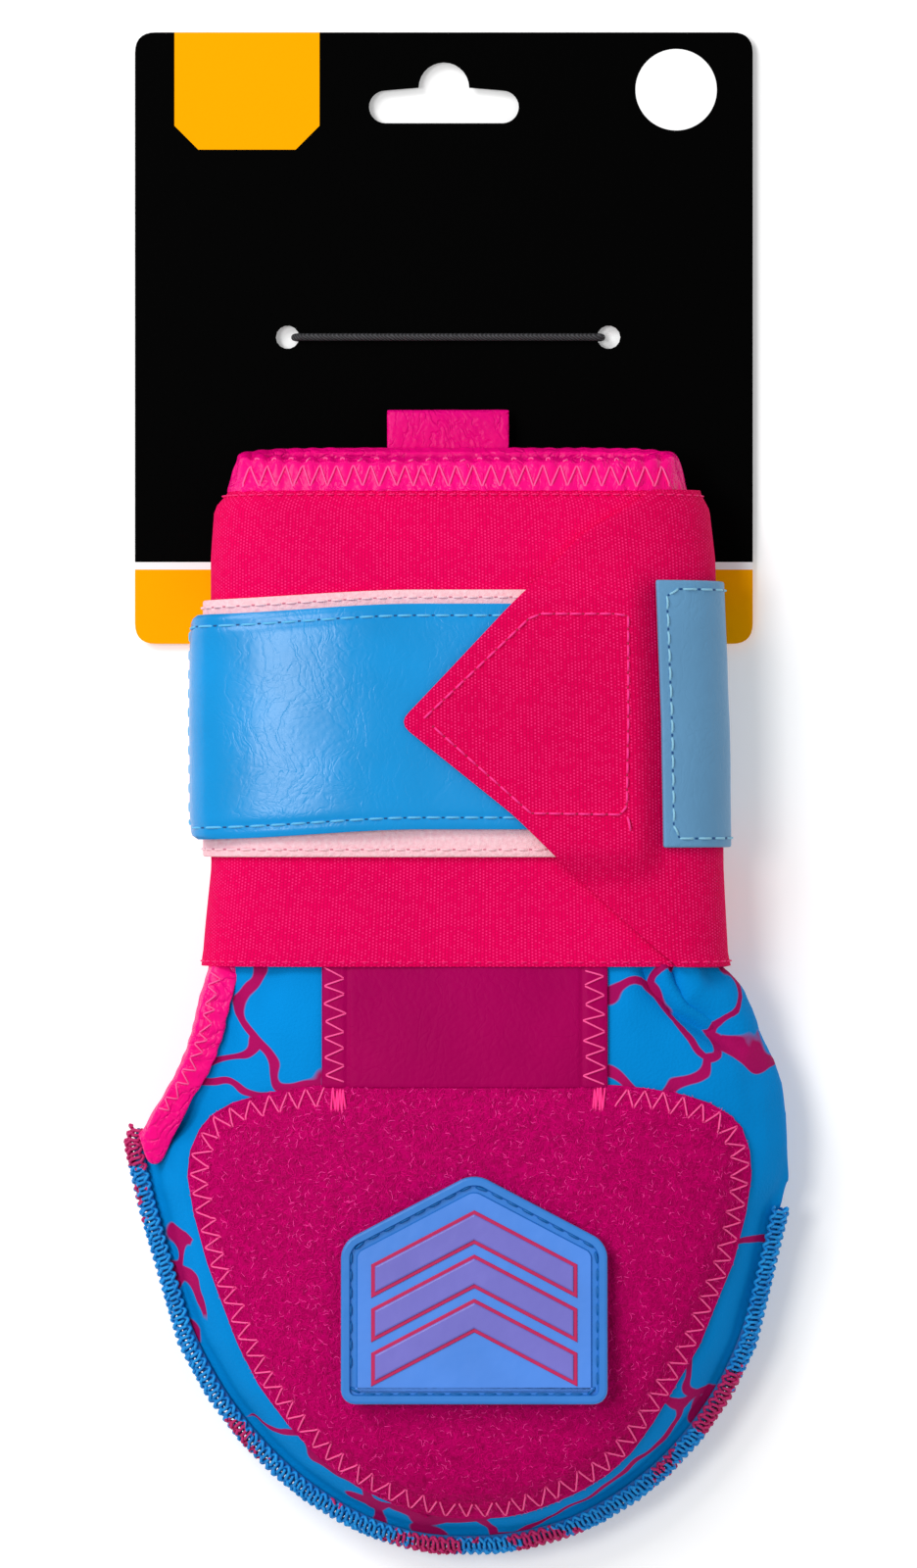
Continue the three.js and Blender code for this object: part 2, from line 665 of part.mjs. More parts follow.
// Channel along an edge of the body. path gives, for a share, the edge point, the way out of the body and
// the half thickness of what it holds. leg is how far it reaches in.
function channel(path, steps, leg, wall) {
  const loops = [];
  for (let i = 0; i <= steps; i++) {
    const { point, out, half } = path(i / steps);
    const at = (across, up) => point.clone().addScaledVector(out, across).add(new THREE.Vector3(0, 0, up));
    const inner = half + clearance;
    const outer = inner + wall;
    const nose = clearance + wall;
    loops.push([
      at(-leg, outer), at(nose * noseShare, outer), at(nose, 0), at(nose * noseShare, -outer), at(-leg, -outer),
      at(-leg, -inner), at(clearance, -inner), at(clearance, 0), at(clearance, inner), at(-leg, inner),
    ]);
  }
  return sweep(loops);
}

// Overlock seam on the body's edge, from the thumb notch round the finger end to where the fold starts.
function overlockSeam() {
  const rows = bodyRows(0).filter((y) => y <= notchRow);
  const left = rows.map((y) => [section(y), y]).reverse();
  const right = rows.filter((y) => y <= widestRow).map((y) => [section(y), y]);
  const edge = [
    ...left.map(([part, y]) => new THREE.Vector3(part.left, y, part.seam)),
    ...right.map(([part, y]) => new THREE.Vector3(part.right, y, part.seam)),
  ];
  const path = (share) => {
    const i = Math.round(share * (edge.length - 1));
    const before = edge[Math.max(i - 1, 0)];
    const after = edge[Math.min(i + 1, edge.length - 1)];
    const run = after.clone().sub(before);
    return { point: edge[i], out: new THREE.Vector3(run.y, -run.x, 0).normalize(), half: flangeHalf };
  };
  return channel(path, edge.length - 1, seamReach, seamThickness);
}

// Binding of one lip of the thumb opening. side is 1 on the back of the hand and -1 on the palm.
function thumbBinding(side) {
  const rows = [...openingRows.slice(1).filter((y) => y < bandStart - rowMargin), bandStart - clearance];
  const path = (share) => {
    const y = rows[Math.round(share * (rows.length - 1))];
    const part = section(y);
    const gape = thumbGape * thumb(y);
    return {
      point: new THREE.Vector3(part.left, y, part.seam + (side * (part.leftEdge + gape)) / 2),
      out: new THREE.Vector3(-1, 0, 0),
      half: (part.leftEdge - gape) / 2,
    };
  };
  return channel(path, rows.length - 1, thumbBindingWidth, bindingThickness);
}

// Point on the back of the hand, moved out along the surface's normal.
function onHand(x, y, out) {
  const at = (a, b) => new THREE.Vector3(a, b, upper({ ...section(b), inset: true }, a, b));
  const across = at(x + surfaceStep, y).sub(at(x - surfaceStep, y));
  const along = at(x, y + surfaceStep).sub(at(x, y - surfaceStep));
  return at(x, y).addScaledVector(across.cross(along).normalize(), out);
}

// Solid under the back of the hand, its top moved out by a distance, with the columns of the body.
function dome(out) {
  const loops = bodyRows(0).filter((y) => y > flangeWidth && y < bandStart).map((y) => {
    const [from, to] = raised(section(y));
    const top = Array.from({ length: bodyColumnCount + 1 }, (_, i) =>
      onHand(lerp(from, to, (1 - Math.cos((Math.PI * i) / bodyColumnCount)) / 2), y, out));
    return [...top, ...top.map((point) => new THREE.Vector3(point.x, point.y, 0)).reverse()];
  });
  return solid(sweep(loops));
}

// A layer of even thickness on the back of the hand, cut to an outline seen from above.
function laid(outline, thickness) {
  const prism = plate(new THREE.Shape(outline), 2 * handThickness, handSeamHeight / 2);
  return dome(clearance + thickness).intersect(prism).subtract(dome(clearance));
}

// Pile panel: a straight top edge, round shoulders and a long rounded toe.
const pileTop = pileStart + pileLength;
const pileToePower = 1.9;
const pileShoulderPower = 2.6;
function pileHalf(y) {
  const shoulderRow = pileTop - pileShoulder;
  if (y < shoulderRow) {
    const share = (shoulderRow - y) / (shoulderRow - pileStart);
    return (pileWidth / 2) * (1 - share ** pileToePower) ** (1 / pileToePower);
  }
  const share = (y - shoulderRow) / pileShoulder;
  const shoulder = (pileWidth - pileTopWidth) / 2;
  return pileTopWidth / 2 + shoulder * (1 - share ** pileShoulderPower) ** (1 / pileShoulderPower);
}
function pilePanel() {
  const shoulderRow = pileTop - pileShoulder;
  const toe = Array.from({ length: pileToeCount }, (_, i) =>
    lerp(shoulderRow, pileStart, Math.cos(lerp(pileFirstTurn, Math.PI / 2, i / (pileToeCount - 1)))));
  const top = pileShoulderShares.map((share) => shoulderRow + share * pileShoulder);
  const rows = [...toe, ...top];
  const outline = [
    ...rows.map((y) => new THREE.Vector2(pileOffset + pileHalf(y), y)),
    ...rows.map((y) => new THREE.Vector2(pileOffset - pileHalf(y), y)).reverse(),
  ];
  return laid(outline, pileThickness);
}

// Smooth strip between the band and the pile panel.
function backStrip() {
  const [low, high] = [pileTop + clearance, bandStart - clearance];
  const corners = [[-1, low], [1, low], [1, high], [-1, high]];
  const outline = corners.map(([side, y]) => new THREE.Vector2(stripOffset + (side * stripWidth) / 2, y));
  return laid(outline, stripThickness);
}

// Outline of the patch, a house front, drawn in by a distance, with its corners rounded.
function house(inset, corner) {
  const half = patchWidth / 2 - inset;
  const slope = Math.atan2(patchEave, patchWidth / 2);
  const peak = patchHeight - inset / Math.cos(slope);
  const eave = peak - half * Math.tan(slope);
  const corners = [[-half, inset], [half, inset], [half, eave], [0, peak], [-half, eave]];
  return roundedShape(corners.map(([x, y]) => new THREE.Vector2(x, y)), corner);
}

function roundedShape(corners, radius) {
  const shape = new THREE.Shape();
  corners.forEach((corner, i) => {
    const before = corners[(i + corners.length - 1) % corners.length];
    const after = corners[(i + 1) % corners.length];
    const enter = corner.clone().lerp(before, radius / corner.distanceTo(before));
    const leave = corner.clone().lerp(after, radius / corner.distanceTo(after));
    if (i === 0) shape.moveTo(enter.x, enter.y);
    else shape.lineTo(enter.x, enter.y);
    shape.quadraticCurveTo(corner.x, corner.y, leave.x, leave.y);
  });
  shape.closePath();
  return shape;
}

const plate = (shape, depth, low = 0) => {
  const geometry = new THREE.ExtrudeGeometry(shape, { depth, bevelEnabled: false, curveSegments: 4 });
  geometry.translate(0, 0, low);
  return solid(geometry);
};

// One raised chevron, its arms level with the roof of the patch.
function chevron(number) {
  const slope = patchEave / (patchWidth / 2);
  const half = patchWidth / 2 - patchRimWidth - patchGroove - chevronMargin;
  const peak = patchHeight - patchRimWidth - patchGroove - chevronMargin - chevronDrop;
  const top = peak - number * chevronPitch;
  const bottom = top - chevronBand;
  const points = [
    [0, top], [-half, top - half * slope], [-half, bottom - half * slope],
    [0, bottom], [half, bottom - half * slope], [half, top - half * slope],
  ];
  return new THREE.Shape(points.map(([x, y]) => new THREE.Vector2(x, y)));
}

// Moulded rubber patch: plate, raised rim, sewing groove, raised field and chevrons in one piece.
function rubberPatch() {
  const overlap = 0.1;
  const rim = house(0, patchCorner);
  rim.holes.push(house(patchRimWidth, patchCorner));
  const field = house(patchRimWidth + patchGroove, patchCorner);
  let made = plate(house(0, patchCorner), patchBase)
    .add(plate(rim, patchRimHeight + overlap, patchBase - overlap))
    .add(plate(field, patchFieldHeight + overlap, patchBase - overlap));
  for (let i = 0; i < chevronCount; i++) {
    const low = patchBase + patchFieldHeight - overlap;
    made = made.add(plate(chevron(i), chevronHeight + overlap, low));
  }
  return made;
}

// The patch is flat, so it is tipped to the slope of the panel and stands clear of its highest point.
function patchPlace() {
  const ends = [patchStart, patchStart + patchHeight];
  const [low, high] = ends.map((y) => onHand(patchCentre, y, clearance + pileThickness));
  const tilt = Math.atan2(high.z - low.z, high.y - low.y);
  let clear = 0;
  for (let i = 0; i <= patchStepCount; i++) {
    const on = onHand(patchCentre, lerp(ends[0], ends[1], i / patchStepCount), clearance + pileThickness);
    clear = Math.max(clear, on.z - (low.z + (on.y - low.y) * Math.tan(tilt)));
  }
  return { tilt, y: low.y, z: low.z + clear + clearance };
}

// Folded tab sewn to the rear lip.
function pullTab() {
  const shape = new THREE.Shape();
  const start = -tabHeld;
  const bend = tabThickness + tabGap / 2;
  const centre = tabReach - bend;
  shape.moveTo(start, 0);
  shape.lineTo(centre, 0);
  shape.absarc(centre, bend, bend, -Math.PI / 2, Math.PI / 2);
  shape.lineTo(start, 2 * bend);
  shape.lineTo(start, 2 * bend - tabThickness);
  shape.lineTo(centre, 2 * bend - tabThickness);
  shape.absarc(centre, bend, tabGap / 2, Math.PI / 2, -Math.PI / 2, true);
  shape.lineTo(start, tabThickness);
  shape.closePath();
  const geometry = new THREE.ExtrudeGeometry(shape, { depth: tabWidth, bevelEnabled: false, curveSegments: 5 });
  geometry.applyMatrix4(new THREE.Matrix4().makeBasis(
    new THREE.Vector3(0, 1, 0), new THREE.Vector3(0, 0, 1), new THREE.Vector3(1, 0, 0)));
  const under = (y) => around(-Math.PI / 2, y, clearance + bindingThickness).z;
  const lip = Math.min(under(mittLength - tabHeld), under(mittLength));
  geometry.translate(tabCentre - tabWidth / 2, mittLength, lip - clearance - 2 * bend);
  return geometry;
}

// Header card with a shop-peg slot and two holes for the tie.
const cardLow = tieDiameter + clearance;
const tieHoleX = [-1, 1].map((side) => cardCentre + tieHoleShift + (side * tieHoleSpacing) / 2);
function headerCard() {
  const half = cardWidth / 2;
  const corners = [[-half, 0], [half, 0], [half, cardHeight], [-half, cardHeight]];
  const shape = roundedShape(corners.map(([x, y]) => new THREE.Vector2(x, y)), cardCorner);
  const end = slotHeight / 2;
  const low = cardHeight - slotFromTop;
  const slot = new THREE.Path();
  slot.absarc(slotWidth / 2 - end, low + end, end, -Math.PI / 2, Math.PI / 2);
  const humpCentre = low + slotHumpRise - slotHump;
  slot.absarc(0, humpCentre, slotHump, 0, Math.PI);
  slot.absarc(-slotWidth / 2 + end, low + end, end, Math.PI / 2, (3 * Math.PI) / 2);
  slot.closePath();
  shape.holes.push(slot);
  for (const x of tieHoleX) {
    const hole = new THREE.Path();
    hole.absarc(x - cardCentre, tieHoleRow, tieHoleRadius, 0, 2 * Math.PI, true);
    shape.holes.push(hole);
  }
  const geometry = new THREE.ExtrudeGeometry(shape, { depth: cardThickness, bevelEnabled: false, curveSegments: 7 });
  geometry.translate(cardCentre, cardStart, cardLow);
  return solid(geometry).subtract(tackCut);
}

// Closed loop of cord through both holes of the card, flat on its face and on its back.
function cardTie() {
  const radius = tieDiameter / 2;
  const bend = (cardThickness + 2 * clearance + tieDiameter) / 2;
  const middleZ = cardLow + cardThickness / 2;
  const y = cardStart + tieHoleRow;
  const inset = tieHoleRadius;
  const ends = [tieHoleX[0] + inset, tieHoleX[1] - inset];
  const centres = [];
  const turns = 8;
  for (let i = 0; i <= turns; i++) centres.push([ends[1], -Math.PI / 2 + (Math.PI * i) / turns]);
  for (let i = 0; i <= turns; i++) centres.push([ends[0], Math.PI / 2 + (Math.PI * i) / turns]);
  const sides = 8;
  const loops = centres.map(([x, turn]) =>
    Array.from({ length: sides }, (_, k) => {
      const spin = (2 * Math.PI * k) / sides;
      const out = bend + radius * Math.cos(spin);
      return new THREE.Vector3(
        x + out * Math.cos(turn), y + radius * Math.sin(spin), middleZ + out * Math.sin(turn));
    }));
  return sweep(loops, true);
}

// Plastic tack that holds the wrist's rear wall to the card: a stem with a bar at each end.
function cardTack() {
  const rod = (length) => new THREE.CylinderGeometry(tackRadius, tackRadius, length, tackSides);
  const low = cardLow - clearance - tackRadius;
  const part = section(tackRow, true);
  const high = lower({ ...part, floor: part.low }, 0) + clearance + tackRadius;
  const stem = rod(high - low).rotateX(Math.PI / 2).translate(0, tackRow, (low + high) / 2);
  const bars = [low, high].map((z) => solid(rod(tackBar).rotateZ(Math.PI / 2).translate(0, tackRow, z)));
  return solid(stem).add(bars[0]).add(bars[1]);
}

add("padded_body", paddedBody(), bluePrint);
add("overlock_seam", solid(overlockSeam()), thread);
add("thumb_binding_back", solid(thumbBinding(1)), pinkLeather);
add("thumb_binding_palm", solid(thumbBinding(-1)), pinkLeather);
add("mouth_binding", solid(mouthBinding()), pinkLeather);
add("pull_tab", solid(pullTab()), pinkLeather);
add("elastic_band", elasticBand(), pinkElastic);
add("loop_tape", solid(loopTape()), paleLoop);
add("closure_strap", solid(closureStrap()), blueLeather);
add("pointed_flap", solid(pointedFlap()), pinkElastic);
add("side_label", solid(sideLabel()), paleLeather);
add("back_strip", backStrip(), darkLeather);
add("pile_panel", pilePanel(), pileFabric);
add("header_card", headerCard(), cardBoard);
add("card_tie", solid(cardTie()), cordBlack);
add("card_tack", cardTack(), clearPlastic);

const place = patchPlace();
const patch = new THREE.Mesh(geometryOf(rubberPatch()), rubber);
patch.name = "rubber_patch";
patch.rotation.x = place.tilt;
patch.position.set(patchCentre, place.y, place.z);
group.add(patch);

// The origin is under the middle of what the whole covers.
const covered = new THREE.Box3().setFromObject(group);
const centre = covered.getCenter(new THREE.Vector3());
group.position.set(-centre.x, -centre.y, -covered.min.z);

export default group;
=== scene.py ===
# %% [markdown]
# A sliding mitt protects a base runner's hand. It is a hollow padded envelope with a thumb opening, a wide
# elastic band round the wrist, a strap that closes it, and a brushed panel with a moulded patch on the back.
# It lies palm down, and its wrist rests on the card that it hangs by in a shop. The CAD solids are loaded
# first, because every soft piece below is laid over them.

# %% Load the frame
import bpy
import bmesh
import math
import random
from mathutils import Matrix, Vector, noise
from mathutils.bvhtree import BVHTree


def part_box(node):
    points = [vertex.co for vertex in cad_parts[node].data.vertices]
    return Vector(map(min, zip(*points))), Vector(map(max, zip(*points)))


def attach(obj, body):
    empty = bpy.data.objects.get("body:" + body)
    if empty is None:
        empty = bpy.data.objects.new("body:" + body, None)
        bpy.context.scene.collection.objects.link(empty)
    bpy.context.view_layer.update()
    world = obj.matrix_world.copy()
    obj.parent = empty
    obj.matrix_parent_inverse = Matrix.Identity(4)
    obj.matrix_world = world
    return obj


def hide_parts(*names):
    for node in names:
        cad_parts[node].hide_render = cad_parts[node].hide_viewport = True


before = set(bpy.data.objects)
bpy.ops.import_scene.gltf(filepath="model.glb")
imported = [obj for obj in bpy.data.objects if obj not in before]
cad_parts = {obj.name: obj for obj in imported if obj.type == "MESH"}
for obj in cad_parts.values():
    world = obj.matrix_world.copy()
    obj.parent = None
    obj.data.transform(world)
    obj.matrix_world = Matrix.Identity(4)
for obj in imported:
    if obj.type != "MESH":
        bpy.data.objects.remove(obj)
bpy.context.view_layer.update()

MM = 0.001
random.seed(7)

# %% [markdown]
# The camera looks straight down, as the photograph looks straight at the mitt. A long lens far away keeps the
# thick hand from looking bigger than the flat card. The picture is 1600 pixels high, and its long side sets
# the lens.

# %% Camera
PICTURE_HEIGHT = 332.8 * MM
EYE_HEIGHT = 1500 * MM
FRAMED_LEVEL = 12 * MM
SENSOR = 36.0

camera = bpy.data.objects.new("camera", bpy.data.cameras.new("camera"))
bpy.context.scene.collection.objects.link(camera)
camera.data.sensor_width = SENSOR
camera.data.lens = SENSOR * (EYE_HEIGHT - FRAMED_LEVEL) / PICTURE_HEIGHT
camera.data.clip_end = 20
camera.location = (-0.1 * MM, 0.9 * MM, EYE_HEIGHT)
bpy.context.scene.camera = camera
print("lens", round(camera.data.lens, 1), "mm")

# %% [markdown]
# A product photograph like this one has a white table and big soft lamps. One large lamp stands at the upper
# left, so that the strap shines there and the right side of the wrist falls off a little. The floor is staged,
# so it isn't part of the mitt.

# %% Floor and lamps
def floor_plane():
    """A wide pale floor that the mitt lies on."""
    shape = bmesh.new()
    bmesh.ops.create_grid(shape, x_segments=1, y_segments=1, size=3.0)
    mesh = bpy.data.meshes.new("floor")
    shape.to_mesh(mesh)
    shape.free()
    floor = bpy.data.objects.new("floor", mesh)
    bpy.context.scene.collection.objects.link(floor)
    floor.location.z = -0.05 * MM
    return floor


def lamp(name, place, size, power):
    """A square soft lamp that points at the middle of the mitt."""
    light = bpy.data.lights.new(name, "AREA")
    light.size = size
    light.energy = power
    held = bpy.data.objects.new(name, light)
    bpy.context.scene.collection.objects.link(held)
    held.location = place
    held.rotation_mode = "QUATERNION"
    held.rotation_quaternion = (-Vector(place)).to_track_quat("-Z", "Y")
    return held


floor = floor_plane()
paper = bpy.data.materials.new("white_paper")
paper.use_nodes = True
paper_shader = paper.node_tree.nodes["Principled BSDF"]
paper_shader.inputs["Base Color"].default_value = (0.93, 0.93, 0.93, 1)
paper_shader.inputs["Roughness"].default_value = 1.0
paper_shader.inputs["Specular IOR Level"].default_value = 0.0
paper_shader.inputs["Emission Color"].default_value = (1, 1, 1, 1)
paper_shader.inputs["Emission Strength"].default_value = 0.2
floor.data.materials.append(paper)
lamp("key_lamp", (-0.8, 0.75, 1.2), 0.6, 11.5)
lamp("fill_lamp", (0.9, -0.2, 1.3), 1.0, 1.8)
lamp("gloss_lamp", (-0.58, 0.1, 1.5), 0.4, 8)
world = bpy.data.worlds.new("studio")
bpy.context.scene.world = world
world.use_nodes = True
world.node_tree.nodes["Background"].inputs["Color"].default_value = (1, 1, 1, 1)
world.node_tree.nodes["Background"].inputs["Strength"].default_value = 0.42
bpy.context.scene.view_settings.view_transform = "Standard"
print("lamps", len(bpy.data.lights))

# %% [markdown]
# The wrist is a flattened tube. Its section is a rounded box: half the width in x, and a height that falls off
# with a high power of the distance from the middle. Everything on the wrist is placed by two numbers, the
# distance round it from the middle of the front and the distance along it, so cloth keeps its real width.

# %% The wrist's section
WRIST_ROWS = (  # along, left, right, squeeze of each side, in mm
    (-37.9, 53.0, 53.2, 0.0),
    (-34.9, 52.2, 52.5, 0.0),
    (-16.6, 50.5, 51.5, 0.0),
    (13.6, 50.9, 51.1, 0.0),
    (48.4, 50.5, 49.7, 0.14),
    (58.8, 49.7, 48.5, 0.69),
    (61.9, 47.9, 46.8, 1.1),
    (71.6, 45.9, 44.9, 2.75),
)
WRIST_MIDDLE = 19.0
WRIST_HALF = 11.0
WRIST_POWER = 7
MOUTH_SLANT = 4.4
BAND_TOP = 62.1
LIP_ROW = 71.6


def wrist_row(y):
    """Left, right and squeeze of the wrist at a distance along it."""
    rows = WRIST_ROWS
    if y <= rows[0][0]:
        return rows[0][1:]
    for low, high in zip(rows, rows[1:]):
        if y <= high[0]:
            share = (y - low[0]) / (high[0] - low[0])
            return [a + (b - a) * share for a, b in zip(low[1:], high[1:])]
    return rows[-1][1:]


def around(angle, y, out):
    """Point of the wrist at an angle round it, moved out by a distance, and the way out. All in mm."""
    left, right, squeeze = wrist_row(y)
    middle, half = (right - left) / 2 + 0.2, (right + left) / 2

    def section(turn):
        u = min(abs(math.cos(turn)), 1.0)
        rise = (WRIST_HALF - squeeze) * math.sqrt(1 - u**WRIST_POWER)
        return middle + half * math.cos(turn), WRIST_MIDDLE + math.copysign(rise, math.sin(turn))

    x, z = section(angle)
    ahead, behind = section(angle + 0.02), section(angle - 0.02)
    run = Vector((ahead[0] - behind[0], 0, ahead[1] - behind[1])).normalized()
    normal = Vector((run.z, 0, -run.x))
    point = Vector((x, 0, z)) + normal * out
    share = min(max((y - BAND_TOP) / (LIP_ROW - BAND_TOP), 0), 1.5)
    point.y = y - share * MOUTH_SLANT * min(max((point.z - WRIST_MIDDLE + WRIST_HALF) / 22, 0), 1)
    return point, normal


def girth_table():
    """Distance round the front right quarter and the side, against the angle."""
    steps = 720
    table = [(0.0, math.pi / 2)]
    last = around(math.pi / 2, 13.6, 2.1)[0]
    for i in range(1, steps + 1):
        angle = math.pi / 2 - math.pi * i / steps
        here = around(angle, 13.6, 2.1)[0]
        table.append((table[-1][0] + (here - last).length, angle))
        last = here
    return table


GIRTH = girth_table()


def angle_at(distance):
    """Angle round the wrist for a distance from the middle of its front."""
    reach = min(abs(distance), GIRTH[-1][0] - 1e-6)
    low, high = 0, len(GIRTH) - 1
    while high - low > 1:
        middle = (low + high) // 2
        if GIRTH[middle][0] <= reach:
            low = middle
        else:
            high = middle
    (a, turn), (b, next_turn) = GIRTH[low], GIRTH[high]
    angle = turn + (next_turn - turn) * (reach - a) / (b - a)
    return angle if distance >= 0 else math.pi - angle


HALF_GIRTH = GIRTH[-1][0]
print("half round the band", round(HALF_GIRTH, 1), "mm")

# %% [markdown]
# Helpers make the pieces. A cloth piece starts as a flat grid of the right count, each of its points is moved
# to its place on the wrist or the hand, and the grid's flat size is kept as its UV map, so that a weave runs
# with the cloth. Solidify then gives it its thickness and a small bevel rounds its cut edge.

# %% Piece helpers
def make_piece(name, shape, material, replaced=(), smooth=True):
    """Finish a bmesh as a piece that rides on the mitt."""
    mesh = bpy.data.meshes.new(name)
    if smooth:
        for face in shape.faces:
            face.smooth = True
    shape.to_mesh(mesh)
    shape.free()
    piece = bpy.data.objects.new(name, mesh)
    bpy.context.scene.collection.objects.link(piece)
    mesh.materials.append(material)
    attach(piece, "root")
    if replaced:
        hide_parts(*replaced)
    return piece


def cloth_grid(columns, rows, place, size):
    """A grid whose points go where place(u, v) says, in mm, with its flat size kept as a UV map."""
    shape = bmesh.new()
    bmesh.ops.create_grid(shape, x_segments=columns, y_segments=rows, size=0.5)
    cut = shape.loops.layers.uv.new("cut")
    for face in shape.faces:
        for loop in face.loops:
            u, v = loop.vert.co.x + 0.5, loop.vert.co.y + 0.5
            loop[cut].uv = size(u, v)
    for vert in shape.verts:
        vert.co = place(vert.co.x + 0.5, vert.co.y + 0.5) * MM
    return shape


def thicken(piece, thickness, edge=0.35, levels=0):
    """Give a cloth piece its thickness, inwards, and round its edges."""
    solid = piece.modifiers.new("thickness", "SOLIDIFY")
    solid.thickness = thickness * MM
    solid.offset = -1
    solid.use_even_offset = False
    if edge:
        bevel = piece.modifiers.new("edge", "BEVEL")
        bevel.width = edge * MM
        bevel.segments = 2
        bevel.limit_method = "ANGLE"
        bevel.angle_limit = math.radians(50)
    if levels:
        subdivide = piece.modifiers.new("soft", "SUBSURF")
        subdivide.levels = levels
        subdivide.render_levels = levels
    return piece


def wave(x, y, z, scale):
    """Smooth seeded noise from about -1 to 1 at a place in mm."""
    return noise.noise(Vector((x, y, z)) / scale)


def ease(value, start, end):
    """0 before start, 1 after end, smooth between."""
    share = min(max((value - start) / (end - start), 0), 1)
    return share * share * (3 - 2 * share)


print("helpers ready")

# %% [markdown]
# Thread is the other repeated shape. Each run of sewing is one curve object with a short spline for each
# stitch, because a bevelled curve gives a round thread that can rise and dive into the cloth.

# %% Thread helpers
def sew(name, splines, radius, material, replaced=()):
    """One curve object with a spline for each run of points, in mm."""
    curve = bpy.data.curves.new(name, "CURVE")
    curve.dimensions = "3D"
    curve.bevel_depth = 1.0
    curve.bevel_resolution = 1
    curve.resolution_u = 2
    curve.use_fill_caps = True
    for points in splines:
        spline = curve.splines.new("POLY")
        spline.points.add(len(points) - 1)
        for target, point in zip(spline.points, points):
            target.co = (point[0] * MM, point[1] * MM, point[2] * MM, 1)
            target.radius = radius * MM
        spline.use_smooth = True
    piece = bpy.data.objects.new(name, curve)
    bpy.context.scene.collection.objects.link(piece)
    curve.materials.append(material)
    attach(piece, "root")
    if replaced:
        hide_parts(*replaced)
    return piece


def walk(points, step):
    """Points at even steps along a line of points."""
    spaced = [points[0]]
    left = step
    for a, b in zip(points, points[1:]):
        length = (b - a).length
        done = 0.0
        while length - done >= left and length > 0:
            done += left
            spaced.append(a.lerp(b, done / length))
            left = step
        left -= length - done
    return spaced


def running_stitches(line, surface, stitch, gap, proud=0.22):
    """Straight stitches along a flat line; surface(p) gives the point and the way out of the cloth."""
    spots = walk(line, (stitch + gap) / 6)
    share = stitch / (stitch + gap)
    splines = []
    for start in range(0, len(spots) - 6, 6):
        run = []
        for k in range(5):
            t = k / 4 * share
            spot = spots[start].lerp(spots[start + 6], t)
            point, normal = surface(spot)
            dive = -0.35 if k in (0, 4) else proud + 0.1 * math.sin(math.pi * k / 4)
            run.append(point + normal * dive)
        splines.append(run)
    return splines


HOLE_RADIUS = 0.3
LEAP = 2.5  # a thread ends where the cloth under it drops by more than this, in mm


def zigzag_stitches(line, surface, width, pitch, proud=0.25, loose=0.1):
    """Zigzag thread across a line; each leg rises from the cloth and dives into it, a little unevenly."""
    spots = walk(line, pitch / 2)
    turns = []
    for i, spot in enumerate(spots):
        run = (spots[min(i + 1, len(spots) - 1)] - spots[max(i - 1, 0)]).normalized()
        side = Vector((-run.y, run.x, 0)) * (1 if i % 2 else -1)
        reach = width / 2 * (1 + random.uniform(-loose, loose))
        turns.append(spot + side * reach + run * random.uniform(-loose, loose) * pitch)
    splines = []
    for start, end in zip(turns, turns[1:]):
        leg = []
        level = surface(start.lerp(end, 0.5))[0].z
        for k in range(6):
            point, normal = surface(start.lerp(end, k / 5))
            if abs(point.z - level) < LEAP:
                leg.append(point + normal * (-0.3 if k in (0, 5) else proud))
        if len(leg) > 2:
            splines.append(leg)
    return splines


def needle_holes(line, surface, stitch, gap, low=0.05):
    """Short dark marks between straight stitches, where the needle went through: painted shade of the needle
    holes.
    """
    spots = walk(line, (stitch + gap) / 6)
    share = stitch / (stitch + gap)
    holes = []
    for start in range(0, len(spots) - 6, 6):
        ends = []
        for t in (share + 0.06, 0.94):
            point, normal = surface(spots[start].lerp(spots[start + 6], t))
            ends.append(point + normal * (low - HOLE_RADIUS))
        holes.append(ends)
    return holes

print("thread helpers ready")

# %% [markdown]
# Colours are measured from the photograph as screen values. Blender's colours are linear, so each is
# converted once. The materials share a few effects, kept as node groups: a woven rib, creased coated leather,
# and a slow change of tone that keeps large areas from looking flat.

# %% Colour and node helpers
def paint(red, green, blue):
    """A screen colour from 0 to 255 as a linear colour."""
    def linear(value):
        share = value / 255
        return share / 12.92 if share <= 0.04045 else ((share + 0.055) / 1.055) ** 2.4
    return (linear(red), linear(green), linear(blue), 1)


def new_material(name, color, roughness):
    """A material with a Principled shader, and the shader."""
    material = bpy.data.materials.new(name)
    material.use_nodes = True
    shader = material.node_tree.nodes["Principled BSDF"]
    shader.inputs["Base Color"].default_value = color
    shader.inputs["Roughness"].default_value = roughness
    material.diffuse_color = color
    return material, shader


def add_node(tree, kind, **settings):
    """A node with its settings; settings named after a socket fill that socket."""
    node = tree.nodes.new(kind)
    for key, value in settings.items():
        if hasattr(node, key):
            setattr(node, key, value)
        else:
            node.inputs[key.replace("_", " ")].default_value = value
    return node


def group(name, inputs, outputs):
    """An empty node group with the named sockets."""
    tree = bpy.data.node_groups.new(name, "ShaderNodeTree")
    for label, kind, value in inputs:
        socket = tree.interface.new_socket(label, in_out="INPUT", socket_type=kind)
        if value is not None:
            socket.default_value = value
    for label, kind in outputs:
        tree.interface.new_socket(label, in_out="OUTPUT", socket_type=kind)
    return tree, tree.nodes.new("NodeGroupInput"), tree.nodes.new("NodeGroupOutput")


def use_group(tree, shared, **values):
    """A shared group placed in a material."""
    node = tree.nodes.new("ShaderNodeGroup")
    node.node_tree = shared
    for key, value in values.items():
        node.inputs[key].default_value = value
    return node


def math_node(tree, operation, first, second=None, third=None):
    """A math node fed by sockets or numbers; returns its output."""
    node = tree.nodes.new("ShaderNodeMath")
    node.operation = operation
    for socket, value in zip(node.inputs, (first, second, third)):
        if value is None:
            continue
        if isinstance(value, (int, float)):
            socket.default_value = value
        else:
            tree.links.new(value, socket)
    return node.outputs[0]


